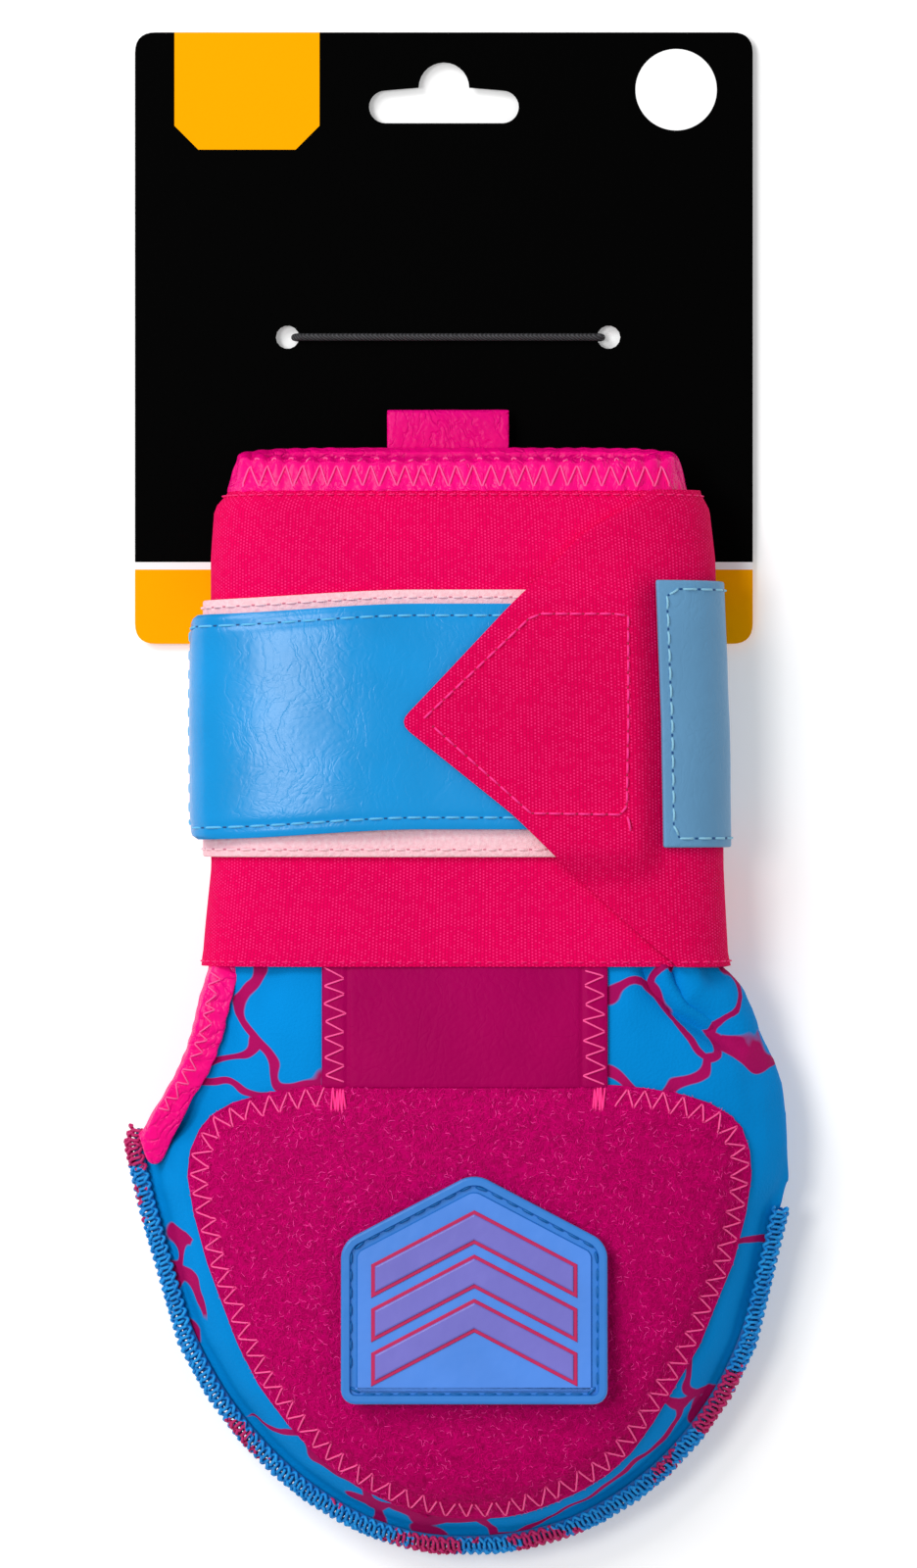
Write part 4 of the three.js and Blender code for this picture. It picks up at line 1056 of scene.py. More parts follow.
tape_shape = cloth_grid(120, 40, tape_place, lambda u, v: (u * 0.115, v * 0.056))
strap_shape = cloth_grid(130, 60, strap_place, lambda u, v: (u * 0.098, v * 0.049))
tape_shape.normal_update()
strap_shape.normal_update()
loop_tape = thicken(make_piece("loop_tape_cloth", tape_shape, pale_loop, ["loop_tape"]), 1.2)
closure_strap = thicken(
    make_piece("strap_leather", strap_shape, blue_leather, ["closure_strap"]), 1.9, 0.6)
print("strap", STRAP_END - STRAP_START, "mm long")

# %% [markdown]
# The pointed flap is a second layer of the elastic. It lies on the band, and rises over the strap that it
# holds, in a soft slope and not in a step.

# %% Pointed flap
FLAP_END = 76.0
FLAP_LOW, FLAP_HIGH = BAND_FOOT, BAND_TOP + 1.0
FLAP_TIP_ROW = 13.6
FLAP_EDGE = (  # along, start round the wrist, in mm
    (-37.9, 44.2),
    (-17.1, 22.3),
    (-5.7, 10.9),
    (FLAP_TIP_ROW, -12.9),
    (38.1, 10.7),
    (53.7, 27.3),
    (63.1, 45.0),
)


def flap_start(y):
    """Where a row of the flap starts, round the wrist, with its point and bends a little rounded."""
    def straight(row):
        row = min(max(row, FLAP_EDGE[0][0]), FLAP_EDGE[-1][0])
        for low, high in zip(FLAP_EDGE, FLAP_EDGE[1:]):
            if row <= high[0]:
                return low[1] + (high[1] - low[1]) * (row - low[0]) / (high[0] - low[0])
    return sum(straight(y + step) for step in (-1.6, -0.8, 0.0, 0.8, 1.6)) / 5


def flap_out(distance, y):
    """How far out the flap's face is."""
    across = 1 - ease(distance, 35.5, 42.3)
    along = 1 - ease(abs(y - CLOSURE_ROW), 25.5, 35.0)
    return 2.4 + 3.9 * across * along + 1.8


def flap_place(u, v):
    """Where a point of the flap goes."""
    y = FLAP_LOW + v * (FLAP_HIGH - FLAP_LOW)
    start = flap_start(y)
    distance = start + u * (FLAP_END - start)
    near_edge = 1 - ease(distance - start, 0.0, 2.0)
    lift = flap_out(distance, y) + 0.15 * wave(distance, y, 5, 19) - 0.15 * near_edge
    point, _ = around(angle_at(distance), y, lift)
    return point


def flap_cut(u, v):
    """Flat place of a point of the flap, for its weave."""
    y = FLAP_LOW + v * (FLAP_HIGH - FLAP_LOW)
    start = flap_start(y)
    return ((start + u * (FLAP_END - start)) * MM, y * MM)


flap_shape = cloth_grid(90, 100, flap_place, flap_cut)
flap_shape.normal_update()
pointed_flap = thicken(
    make_piece("flap_cloth", flap_shape, shaded_flap_elastic, ["pointed_flap"]), 1.7, 0.5)
flap_area = sum(face.area for face in pointed_flap.data.polygons)
print("flap", round(FLAP_END - flap_start(FLAP_TIP_ROW)), "mm from point to seam, area", round(flap_area * 1e4, 1), "cm2")

# %% Side label
LABEL_START, LABEL_END = 41.4, 73.3
LABEL_HALF = 28.0
LABEL_ROW = CLOSURE_ROW + 2
LABEL_SLANT = 0.2


def label_place(u, v):
    """Where a point of the label goes."""
    y = LABEL_ROW + (v - 0.5) * 2 * LABEL_HALF
    distance = LABEL_START + LABEL_SLANT * (0.5 - v) + u * (LABEL_END - LABEL_START)
    point, _ = around(angle_at(distance), y, 5.9 + 0.12 * wave(distance, y, 2, 12))
    return point


label_shape = cloth_grid(50, 70, label_place, lambda u, v: (u * 0.032, v * 0.056))
label_shape.normal_update()
side_label = thicken(
    make_piece("label_leather", label_shape, pale_leather, ["side_label"]), 1.3, 0.4)
print("label", LABEL_END - LABEL_START, "mm wide")

# %% [markdown]
# The bindings are folded strips that hold an edge. Their CAD solids are already folded channels, so each
# is copied, its triangles joined to four-sided faces, and subdivided to a soft round fold. A little noise
# gathers the fold, as a binding sewn on the bias does.

# %% Bindings
def softened(name, node, material, cuts, shape_by, draw=None):
    """A soft copy of a folded solid. shape_by gives how far each point goes out, and draw a pull in mm."""
    shape = merged_copy(node)
    bmesh.ops.join_triangles(
        shape, faces=shape.faces, angle_face_threshold=0.9, angle_shape_threshold=3.2, cmp_seam=False,
        cmp_sharp=False, cmp_uvs=False, cmp_vcols=False, cmp_materials=False)
    bmesh.ops.subdivide_edges(shape, edges=shape.edges, cuts=cuts, use_grid_fill=True, smooth=0.0)
    smoothed(shape, 3, 0.5)
    shape.normal_update()
    for vert in shape.verts:
        x, y, z = vert.co / MM
        vert.co += vert.normal * shape_by(x, y, z) * MM
        if draw:
            vert.co += draw(x, y, z) * MM
    piece = make_piece(name, shape, material, [node])
    soft = piece.modifiers.new("soft", "SUBSURF")
    soft.levels = 1
    soft.render_levels = 1
    bpy.context.view_layer.update()
    surface = BVHTree.FromObject(piece, bpy.context.evaluated_depsgraph_get())

    def from_above(spot):
        hit, normal, _, _ = surface.ray_cast(Vector((spot[0], spot[1], 60)) * MM, Vector((0, 0, -1)))
        if hit is None:
            return Vector((spot[0], spot[1], 12)), Vector((0, 0, 1))
        return hit / MM, normal if normal.z > 0 else -normal

    return piece, from_above


ZIGZAG_PITCH = 3.6
MOUTH_PHASE = -43.7  # where the first stitch pinches the mouth binding, in mm across
MOUTH_MIDDLE = sum(corner.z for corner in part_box("mouth_binding")) / 2 / MM


def gathered_thumb(x, y, z):
    """The thumb binding puckers between its stitches."""
    return 0.12 * math.cos(2 * math.pi * (y * 1.15) / ZIGZAG_PITCH) + 0.22 * wave(x, y, z, 2.4)


def gathered_mouth(x, y, z):
    """The mouth binding swells between its stitches and is pinched at them."""
    pinch = abs(math.sin(math.pi * (x - MOUTH_PHASE) / ZIGZAG_PITCH)) ** 0.6
    depth = 0.4 + 0.6 * ease(y, 66.0, 68.6)
    front = 0.25 + 0.75 * ease(z, MOUTH_MIDDLE - 1.5, MOUTH_MIDDLE + 1.5)
    return 1.2 * depth * front * (pinch - 0.72) + 0.2 * wave(x, y, z, 2.3)


def thumb_draw(x, y, z):
    """The thumb binding is drawn down to the seam's start and in under the band."""
    foot = ease(-y, 60.0, 69.5)
    head = ease(y, -46.0, -39.0)
    inner = ease(x, -67.5, -60.5) * ease(-y, 64.0, 70.0)
    tucked = 0.9 - 0.4 * ease(x, -55, -49)
    return Vector((-1.5 * foot - 2.6 * inner + tucked * head, -2.9 * foot - 7.2 * inner + 1.2 * head, 0))


def creased(x, y, z):
    """Soft creases of the pull tab."""
    return 0.22 * wave(x, y, z, 4.0)


thumb_back, on_thumb_back = softened(
    "thumb_fold_back", "thumb_binding_back", pink_leather, 5, gathered_thumb, thumb_draw)
thumb_palm, on_thumb_palm = softened(
    "thumb_fold_palm", "thumb_binding_palm", pink_leather, 5, gathered_thumb, thumb_draw)
mouth_fold, on_mouth = softened(
    "mouth_fold", "mouth_binding", pink_leather, 7, gathered_mouth)
tab_fold, on_tab = softened("tab_fold", "pull_tab", tab_leather, 3, creased)
print("mouth faces", len(mouth_fold.data.polygons))

# %% [markdown]
# The overlock seam wraps thread round the joined edges of back and palm. Its path is the row of outermost
# points of the CAD seam. Each loop of thread goes over the edge from one side to the other.

# %% Overlock seam
def seam_path():
    """Outer edge of the seam, from the thumb notch round the finger end, in mm."""
    found = {}
    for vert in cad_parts["overlock_seam"].data.vertices:
        x, y, z = vert.co / MM
        turn = math.atan2(x, -(y + 90))
        key = round(turn / 0.045)
        radius = math.hypot(x, y + 90)
        if key not in found or radius > found[key][0]:
            found[key] = (radius, Vector((drawn_in(x, y), y, z)))
    path = [found[key][1] for key in sorted(found)]
    outer = []
    for i, point in enumerate(path):
        near = path[max(i - 1, 0):i + 2]
        if (point.xy - Vector((0, -90))).length >= max((p.xy - Vector((0, -90))).length for p in near) - 1.3:
            outer.append(point)
    return outer


seam_line = seam_path()
print("seam points", len(seam_line))

SEAM_HALF = 2.55
SEAM_DEPTH = 2.2


def outward(line, i):
    """Direction along a line and the flat direction away from the palm's middle, at one point."""
    run = (line[i + 1] - line[i - 1]).normalized()
    out = Vector((run.y, -run.x, 0)).normalized()
    if out.dot(line[i] - Vector((0, -90, line[i].z))) < 0:
        out = -out
    return run, out


def seam_loops(line, pitch):
    """Loops of thread over the edge, leaning a little as overlock does."""
    spots = walk(line, pitch)
    loops = []
    for i in range(1, len(spots) - 1):
        run, out = outward(spots, i)
        long = (1.0 if i % 2 else 0.8) + random.uniform(-0.08, 0.08)
        profile = [
            (-SEAM_DEPTH * long, 0.55), (-SEAM_DEPTH * long + 0.3, 0.98), (-1.6, 1.08), (-0.5, 0.92),
            (0.0, 0.45), (0.2, 0.0), (0.0, -0.45), (-0.5, -0.92), (-1.6, -1.08), (-SEAM_DEPTH * long + 0.3, -0.98)]
        loop = []
        for k, (reach, rise) in enumerate(profile):
            slant = run * (0.9 * (k / (len(profile) - 1) - 0.5) + random.uniform(-0.08, 0.08))
            loop.append(spots[i] + out * reach + Vector((0, 0, rise * SEAM_HALF)) + slant)
        loops.append(loop)
    return loops


CRIMSON_FROM = -80.0  # along; the seam's first length beside the thumb is crimson


def overlock_finish():
    """Overlock thread: blue, with crimson lengths here and there."""
    material, shader = new_material("overlock_thread", paint(14, 132, 205), 0.5)
    tree = material.node_tree
    place = add_node(tree, "ShaderNodeTexCoord")
    cloud = add_node(tree, "ShaderNodeTexNoise", Scale=42.0, Detail=1.0)
    tree.links.new(place.outputs["Object"], cloud.inputs["Vector"])
    fleck = add_node(tree, "ShaderNodeTexNoise", Scale=420.0, Detail=1.0)
    tree.links.new(place.outputs["Object"], fleck.inputs["Vector"])
    faint = math_node(tree, "MULTIPLY", fleck.outputs["Fac"], 0.25)
    mixed = math_node(tree, "ADD", cloud.outputs["Fac"], faint)
    parts = add_node(tree, "ShaderNodeSeparateXYZ")
    tree.links.new(place.outputs["Object"], parts.inputs[0])
    at_thumb = math_node(tree, "GREATER_THAN", parts.outputs["Y"], CRIMSON_FROM * MM)
    crimson = math_node(tree, "MAXIMUM", math_node(tree, "GREATER_THAN", mixed, 0.74), at_thumb)
    light = mix_color(tree, fleck.outputs["Fac"], paint(0, 112, 196), paint(30, 170, 240))
    shade = mix_color(tree, crimson, light, paint(192, 30, 104))
    tree.links.new(shade, shader.inputs["Base Color"])
    shader.inputs["Specular IOR Level"].default_value = 0.3
    twist = add_node(tree, "ShaderNodeTexNoise", Scale=3500.0, Detail=2.0)
    tree.links.new(place.outputs["Object"], twist.inputs["Vector"])
    bump(tree, twist.outputs["Fac"], 0.1)
    return material


overlock_thread = overlock_finish()


def chain(line, pitch, rise, reach):
    """The looper thread that chains the loops together, at one height of the edge."""
    spots = walk(line, pitch / 6)
    points = []
    for i in range(1, len(spots) - 1):
        _, out = outward(spots, i)
        turn = 2 * math.pi * i / 6
        points.append(
            spots[i] + out * (reach + 0.45 * math.sin(turn)) + Vector((0, 0, rise + 0.45 * math.cos(turn))))
    return points


loops = seam_loops(seam_line, 1.1)
chains = [
    chain(seam_line, 1.9, 1.4, 0.2), chain(seam_line, 2.1, -1.4, 0.2), chain(seam_line, 1.7, 0.3, 0.5),
    chain(seam_line, 2.0, 2.75, -2.2)]
print("seam loops", len(loops))
overlock_loops = sew("overlock_loops", loops + chains, 0.36, overlock_thread)


def shrunk(x, y, z):
    """The core under the loops is thinner than the checked seam, which the loops fill out."""
    return -0.25


# Painted shade: the core is a darker blue than the loops, so the gaps between the loops look dark.
seam_core_painted_shade = thread_finish("seam_core_painted_shade", paint(6, 92, 160))
softened("overlock_core", "overlock_seam", seam_core_painted_shade, 1, shrunk)

# %% [markdown]
# The patch is moulded rubber: a plate with a raised rim, a groove for the sewing, a raised field and three
# raised chevrons. It is extruded from its outline, with every edge bevelled.

# %% Rubber patch
PATCH_LOW, PATCH_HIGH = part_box("rubber_patch")
PATCH_WIDTH, PATCH_HEIGHT, PATCH_EAVE = 55.6, 48.2, 14.6
PATCH_CORNER = 3.0


def house_points(inset):
    """Corners of the patch's outline, moved in by a distance."""
    half = PATCH_WIDTH / 2 - inset
    slope = math.atan2(PATCH_EAVE, PATCH_WIDTH / 2)
    peak = PATCH_HEIGHT - inset / math.cos(slope)
    eave = peak - half * math.tan(slope)
    return [(-half, inset), (half, inset), (half, eave), (0, peak), (-half, eave)]


def slab(points, low, high, corner, edge):
    """A flat slab with rounded corners and a soft top edge, as a bmesh in mm."""
    shape = bmesh.new()
    ring = [shape.verts.new((x, y, low)) for x, y in points]
    bottom = shape.faces.new(ring)
    if corner:
        bmesh.ops.bevel(
            shape, geom=list(bottom.verts), offset=corner, offset_type="OFFSET", affect="VERTICES",
            segments=5, profile=0.5, material=-1)
    grown = bmesh.ops.extrude_face_region(shape, geom=list(shape.faces))
    top = [item for item in grown["geom"] if isinstance(item, bmesh.types.BMVert)]
    bmesh.ops.translate(shape, verts=top, vec=(0, 0, high - low))
    bmesh.ops.recalc_face_normals(shape, faces=shape.faces)
    rim = [e for e in shape.edges if all(v in top for v in e.verts) and not e.is_boundary]
    bmesh.ops.bevel(
        shape, geom=rim, offset=edge, offset_type="OFFSET", affect="EDGES", segments=2, profile=0.5,
        material=-1)
    return shape


def join_shapes(shapes, indices):
    """One bmesh of several; an index gives all faces of its shape that material."""
    joined = bmesh.new()
    for number, shape in enumerate(shapes):
        mesh = bpy.data.meshes.new("part")
        if indices[number] is not None:
            for face in shape.faces:
                face.material_index = indices[number]
        shape.to_mesh(mesh)
        shape.free()
        joined.from_mesh(mesh)
        bpy.data.meshes.remove(mesh)
    return joined


def chevron_points(number, grow=0.0):
    """Corners of one raised chevron."""
    slope = PATCH_EAVE / (PATCH_WIDTH / 2)
    half = PATCH_WIDTH / 2 - 7.1 + grow
    top = PATCH_HEIGHT - 8.6 - number * 9.2 + grow
    bottom = top - 5.4 - 2 * grow
    return [(-half, top - half * slope), (-half, bottom - half * slope), (0, bottom),
            (half, bottom - half * slope), (half, top - half * slope), (0, top)]


RIM_HIGH, GROOVE_LEVEL, FIELD_LEVEL = 2.2, 1.25, 1.8


def rim_shape():
    """The plate with its raised rim, the groove that is sewn through, and the raised field."""
    shape = slab(house_points(0), 0.0, RIM_HIGH, PATCH_CORNER, 0.6)
    top = max(shape.faces, key=lambda f: (round(f.calc_center_median().z, 3), f.calc_area()))
    for inset, level in ((1.15, RIM_HIGH), (0.3, GROOVE_LEVEL), (1.15, GROOVE_LEVEL), (0.3, FIELD_LEVEL)):
        bmesh.ops.inset_region(shape, faces=[top], thickness=inset, depth=0.0)
        for vert in top.verts:
            vert.co.z = level
    for face in shape.faces:
        face.material_index = 1 if face == top else 0
    return shape


def patch_matrix():
    """Turn and place of the patch, from the CAD one."""
    low = [v.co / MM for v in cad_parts["rubber_patch"].data.vertices]
    foot = min(low, key=lambda p: (round(p.y, 2), p.z))
    head = max(low, key=lambda p: (round(p.y, 2), -p.z))
    tilt = math.atan2(head.z - foot.z, head.y - foot.y)
    middle = (PATCH_LOW.x + PATCH_HIGH.x) / 2 / MM
    return Matrix.Translation((middle, foot.y, foot.z)) @ Matrix.Rotation(tilt, 4, "X")


patch_place = patch_matrix()
print("patch at", [round(c, 1) for c in patch_place.translation])

# %% Patch finish and assembly
def rubber_finish(name, color, roughness=0.38):
    """Moulded soft rubber with a faint ripple."""
    material, shader = new_material(name, color, roughness)
    tree = material.node_tree
    place = add_node(tree, "ShaderNodeTexCoord")
    ripple = add_node(tree, "ShaderNodeTexNoise", Scale=160.0, Detail=2.0)
    tree.links.new(place.outputs["Object"], ripple.inputs["Vector"])
    tone = use_group(tree, SLOW_TONE, Color=color, Scale=60.0, Depth=0.07)
    tree.links.new(tone.outputs[0], shader.inputs["Base Color"])
    shader.inputs["Specular IOR Level"].default_value = 0.3
    bump(tree, ripple.outputs["Fac"], 0.4, 0.5)
    return material


rim_rubber = rubber_finish("rim_rubber", paint(50, 124, 206))
field_rubber = rubber_finish("field_rubber", paint(76, 136, 226))
bar_rubber = rubber_finish("bar_rubber", paint(116, 112, 198), 0.3)
line_rubber = rubber_finish("line_rubber", paint(190, 20, 88), 0.45)

patch_parts = [rim_shape()]
patch_indices = [None]
for number in range(3):
    patch_parts.append(slab(chevron_points(number, 0.8), 1.5, FIELD_LEVEL + 0.3, 0, 0.15))
    patch_indices.append(3)
    patch_parts.append(slab(chevron_points(number), 1.5, FIELD_LEVEL + 0.75, 0, 0.4))
    patch_indices.append(2)
patch_shape = join_shapes(patch_parts, patch_indices)
bmesh.ops.transform(patch_shape, matrix=patch_place, verts=patch_shape.verts)
bmesh.ops.scale(patch_shape, vec=(MM, MM, MM), verts=patch_shape.verts)
rubber_patch = make_piece(
    "moulded_patch", patch_shape, rim_rubber, ["rubber_patch"], smooth=False)
soft_edges = rubber_patch.modifiers.new("edge", "BEVEL")
soft_edges.width = 0.14 * MM
soft_edges.segments = 2
soft_edges.limit_method = "ANGLE"
soft_edges.angle_limit = math.radians(25)
for extra in (field_rubber, bar_rubber, line_rubber):
    rubber_patch.data.materials.append(extra)
print("patch faces", len(rubber_patch.data.polygons))

# %% [markdown]
# The sewing comes last, over the finished surfaces. Straight lockstitch holds the strap, the label, the tape
# and the flap, and its thread dives into the cloth after each stitch. Zigzag holds the pile panel, the strip's
# two margins and the bindings, because it can stretch with the neoprene.

# %% Straight stitches
def on_wrist(out):
    """Surface of a layer of the wrist; out(distance, y) says how far out its face is."""
    def surface(spot):
        level = out(spot[0], spot[1]) if callable(out) else out
        return around(angle_at(spot[0]), spot[1], level)
    return surface


def line_of(*points):
    """A line of flat points."""
    return [Vector((x, y, 0)) for x, y in points]


SEWN_HALF = STRAP_HALF - STRAP_MARGIN
SEWN_START = STRAP_START + STRAP_MARGIN
strap_sewing = rounded_line([
    (STRAP_END - 1, STRAP_ROW + SEWN_HALF),
    (SEWN_START + 5, STRAP_ROW + SEWN_HALF),
    (SEWN_START, STRAP_ROW + SEWN_HALF),
    (SEWN_START, STRAP_ROW + SEWN_HALF - 5),
    (SEWN_START, STRAP_ROW - SEWN_HALF + 5),
    (SEWN_START, STRAP_ROW - SEWN_HALF),
    (SEWN_START + 5, STRAP_ROW - SEWN_HALF),
    (STRAP_END - 1, STRAP_ROW - SEWN_HALF)], 3)


def on_strap(spot):
    """Bottom of the strap's sewing channel."""
    level = strap_out(spot[0], spot[1], STRAP_MARGIN) + 0.1
    return around(angle_at(spot[0]), spot[1] - sag(spot[0], STRAP_SAG), level)


strap_rows = running_stitches(strap_sewing, on_strap, 2.9, 1.1, 0.14)
sew("strap_stitches", strap_rows, 0.27, sky_thread)
strap_holes = needle_holes(strap_sewing, on_strap, 2.9, 1.1)
sew("strap_needle_holes", strap_holes, HOLE_RADIUS, needle_hole_shade_blue)

FLAP_SEWING = line_of(
    (-7.6, 14.6), (15.8, 36.4), (35.2, 36.4), (34.0, -5.5), (14.4, -5.2), (-7.6, 14.6))


def flap_level(distance, y):
    """Face of the flap, a little over its cloth."""
    return flap_out(distance, y) + 0.1


flap_rows = running_stitches(FLAP_SEWING, on_wrist(flap_level), 2.3, 0.75)
flap_rows += running_stitches(line_of((34.2, -6.0), (34.9, -10.0)), on_wrist(flap_level), 2.9, 0.6, 0.5)
sew("flap_stitches", flap_rows, 0.26, pink_thread)
flap_holes = needle_holes(FLAP_SEWING, on_wrist(flap_level), 2.3, 0.75)
sew("flap_needle_holes", flap_holes, HOLE_RADIUS, needle_hole_shade_crimson)


HEM_LEVEL = 1.95


def hem_out(distance, y):
    """Face of the band at its hem, or of the flap where that covers it."""
    covered = flap_start(y) + 1 < distance < FLAP_END - 1
    return flap_level(distance, y) if covered else HEM_LEVEL


hem_rows = []
for hem_y in (BAND_TOP - 0.5, BAND_FOOT + 1.0):
    round_line = [Vector((s, hem_y, 0)) for s in range(-int(HALF_GIRTH), int(HALF_GIRTH))]
    hem_rows += running_stitches(round_line, on_wrist(hem_out), 1.4, 0.9, 0.08)
sew("hem_stitches", hem_rows, 0.17, hem_thread)

tape_rows, tape_holes = [], []
for row in (CLOSURE_ROW + TAPE_HALF - 1.6, CLOSURE_ROW - TAPE_HALF + 1.6):
    upper = 1 if row > CLOSURE_ROW else 0
    line = [Vector((s, row - sag(s, 2.0) * upper, 0)) for s in range(-78, 35)]
    tape_rows += running_stitches(line, on_wrist(3.8), 2.2, 1.0, 0.12)
    tape_holes += needle_holes(line, on_wrist(3.8), 2.2, 1.0, 0.1)
sew("tape_stitches", tape_rows, 0.24, thread_finish("tape_thread", paint(255, 206, 214)))
# Painted shade of the tape's needle holes, in a darker rose.
sew("tape_needle_holes", tape_holes, 0.22, thread_finish("needle_hole_shade_rose", paint(214, 120, 142)))

LABEL_MARGIN = 1.9
label_line = []
for u, v in ((1.0, 1.0), (0.0, 1.0), (0.0, 0.0), (1.0, 0.0)):
    base = LABEL_START + LABEL_SLANT * (0.5 - v) + u * (LABEL_END - LABEL_START)
    label_line.append(Vector((
        base + LABEL_MARGIN * (1 - 2 * u), LABEL_ROW + (v - 0.5) * 2 * (LABEL_HALF - LABEL_MARGIN), 0)))
label_line.append(label_line[0])
label_rows = running_stitches(label_line, on_wrist(6.0), 2.7, 1.0, 0.08)
pale_blue_thread = thread_finish("pale_blue_thread", paint(138, 196, 222))
sew("label_stitches", label_rows, 0.25, pale_blue_thread)
label_holes = needle_holes(label_line, on_wrist(6.0), 2.7, 1.0)
sew("label_needle_holes", label_holes, HOLE_RADIUS, needle_hole_shade_blue)


def on_patch(spot):
    """Bottom of the patch's groove."""
    point = patch_place @ Vector((spot[0], spot[1], GROOVE_LEVEL + 0.1))
    return point, patch_place.to_3x3() @ Vector((0, 0, 1))


groove_line = with_corners(house_points(2.02), 1.5)
sew("patch_stitches", running_stitches(groove_line, on_patch, 2.5, 1.1), 0.3, blue_thread)
print("straight seams", 6)

# %% Zigzag stitches
ZIGZAG_WIDTH = 4.2
rim_sewing = moved_in(panel_rim, 2.4)
rim_sewing = [p for p in rim_sewing if p.y < PANEL_TOP - 2.2]
panel_rows = zigzag_stitches(rim_sewing, on_panel, ZIGZAG_WIDTH, 3.9)
tack_rows = []
for x in (PANEL_SIDES[-1][1] + 3.2, PANEL_SIDES[-1][2] - 3.2):
    tack_line = [Vector((x + 0.4 * k - 1.4, PANEL_TOP - 3.0, 0)) for k in range(8)]
    tack_rows += zigzag_stitches(tack_line, on_panel, 5.2, 0.7, 0.35, 0.2)
sew("panel_zigzag", panel_rows, 0.2, pale_thread)
sew("panel_bartacks", tack_rows, 0.24, pink_thread)


def from_shape(tree):
    """Surface of a shape seen from above."""
    def surface(spot):
        hit, normal, _, _ = tree.ray_cast(Vector((spot[0], spot[1], 60)) * MM, Vector((0, 0, -1)))
        if hit is None:
            return on_hand(spot, 1.0)
        return hit / MM, normal
    return surface


strip_rows = []
for x in (STRIP_MIDDLE - STRIP_HALF + 2.8, STRIP_MIDDLE + STRIP_HALF - 2.8):
    strip_rows += zigzag_stitches(
        line_of((x, BAND_FOOT - 0.4), (x, PANEL_TOP + 0.2)), from_shape(strip_skin), 4.6, 3.7)
sew("strip_zigzag", strip_rows, 0.2, pale_thread)

thumb_line = rounded_line([
    (-51.2, -38.6), (-52.0, -44.0), (-53.2, -50.0), (-55.4, -57.0), (-59.0, -63.0), (-63.4, -69.0)], 3)
thumb_rows = zigzag_stitches(thumb_line, on_thumb_back, 2.6, 3.2, 0.2, 0.22)
sew("thumb_zigzag", thumb_rows, 0.19, pale_thread)



def on_front_lip(spot):
    """Face of the front lip: a spot beyond its edge is moved back on to it, and not down to the rear lip."""
    for step in range(12):
        point, normal = on_mouth((spot[0], spot[1] - 0.3 * step))
        if point.z > MOUTH_MIDDLE and normal.z > 0.35:
            return point, normal
    return point, normal


mouth_rows = zigzag_stitches(line_of((-45.5, 65.6), (44.5, 65.6)), on_front_lip, 4.8, ZIGZAG_PITCH, 0.25, 0.05)
mouth_rows += running_stitches(
    line_of((-43, 69.2), (42.5, 69.2)), on_front_lip, 1.1, ZIGZAG_PITCH - 1.1, 0.1)
sew("mouth_zigzag", mouth_rows, 0.2, pale_thread)
print("zigzag seams", 4)

# %% [markdown]
# The pile is a field of short curved fibres. One long grid is cut into strips, one strip a fibre, and each
# strip is bent over at a random angle, so that the light catches some and misses others.

# %% Pile fibres
FIBRE_COUNT = 38000
FIBRE_LENGTH = 1.35
FIBRE_WIDTH = 0.12


def fibre_finish():
    """Fibres from dark to light by their own tone, which is kept in the cut map."""
    material, shader = new_material("pile_fibre", paint(206, 6, 112), 0.55)
    tree = material.node_tree
    tone = add_node(tree, "ShaderNodeUVMap", uv_map="cut")
    parts = add_node(tree, "ShaderNodeSeparateXYZ")
    tree.links.new(tone.outputs["UV"], parts.inputs[0])
    shade = mix_color(tree, parts.outputs["X"], paint(164, 0, 80), paint(230, 0, 124))
    bright = math_node(tree, "GREATER_THAN", parts.outputs["X"], 0.95)
    shade = mix_color(tree, bright, shade, paint(255, 60, 160))
    tree.links.new(shade, shader.inputs["Base Color"])
    shader.inputs["Specular IOR Level"].default_value = 0.05
    return material


def random_spot():
    """A random flat spot on the panel."""
    while True:
        y = random.uniform(PANEL_TOE + 0.6, PANEL_TOP - 0.5)
        x = random.uniform(-57.5, 62.0)
        left, right = panel_edges(y)
        if left + 0.3 < x < right - 0.3:
            return x, y


fibres = bmesh.new()
bmesh.ops.create_grid(fibres, x_segments=2 * FIBRE_COUNT - 1, y_segments=2, size=1.0)
tone_map = fibres.loops.layers.uv.new("cut")
columns = {}
for vert in fibres.verts:
    column = round((vert.co.x + 1) / 2 * (2 * FIBRE_COUNT - 1))
    columns.setdefault(column, []).append(vert)
joints = []
for column in range(1, 2 * FIBRE_COUNT - 1, 2):
    here = set(columns[column])
    joints += [face for vert in columns[column] for face in vert.link_faces
               if all(round((v.co.x + 1) / 2 * (2 * FIBRE_COUNT - 1)) >= column for v in face.verts)]
bmesh.ops.delete(fibres, geom=list(set(joints)), context="FACES_ONLY")
loose = [edge for edge in fibres.edges if not edge.link_faces]
bmesh.ops.delete(fibres, geom=loose, context="EDGES")
for number in range(FIBRE_COUNT):
    x, y = random_spot()
    foot, normal = on_panel((x, y))
    turn = random.uniform(0, 2 * math.pi)
    lean = Vector((math.cos(turn), math.sin(turn), 0))
    lean = (lean - normal * lean.dot(normal)).normalized()
    side = normal.cross(lean)
    bent = random.uniform(-0.5, 0.5)
    length = FIBRE_LENGTH * random.uniform(0.6, 1.2)
    height = random.uniform(0.25, 0.6)
    shade = random.random()
    for which, offset in ((2 * number, -1), (2 * number + 1, 1)):
        rows = sorted(columns[which], key=lambda v: v.co.y)
        for k, vert in enumerate(rows):
            share = k / 2
            spot = foot + lean * (length * (share - 0.5)) + side * (bent * math.sin(math.pi * share))
            spot += normal * (height * math.sin(math.pi * min(share + 0.15, 1)) - 0.1)
            vert.co = (spot + side * offset * FIBRE_WIDTH / 2) * MM
            for loop in vert.link_loops:
                loop[tone_map].uv = (shade, share)
pile_fibres = make_piece("pile_fibres", fibres, fibre_finish())
print("fibres", FIBRE_COUNT, "faces", len(pile_fibres.data.polygons))
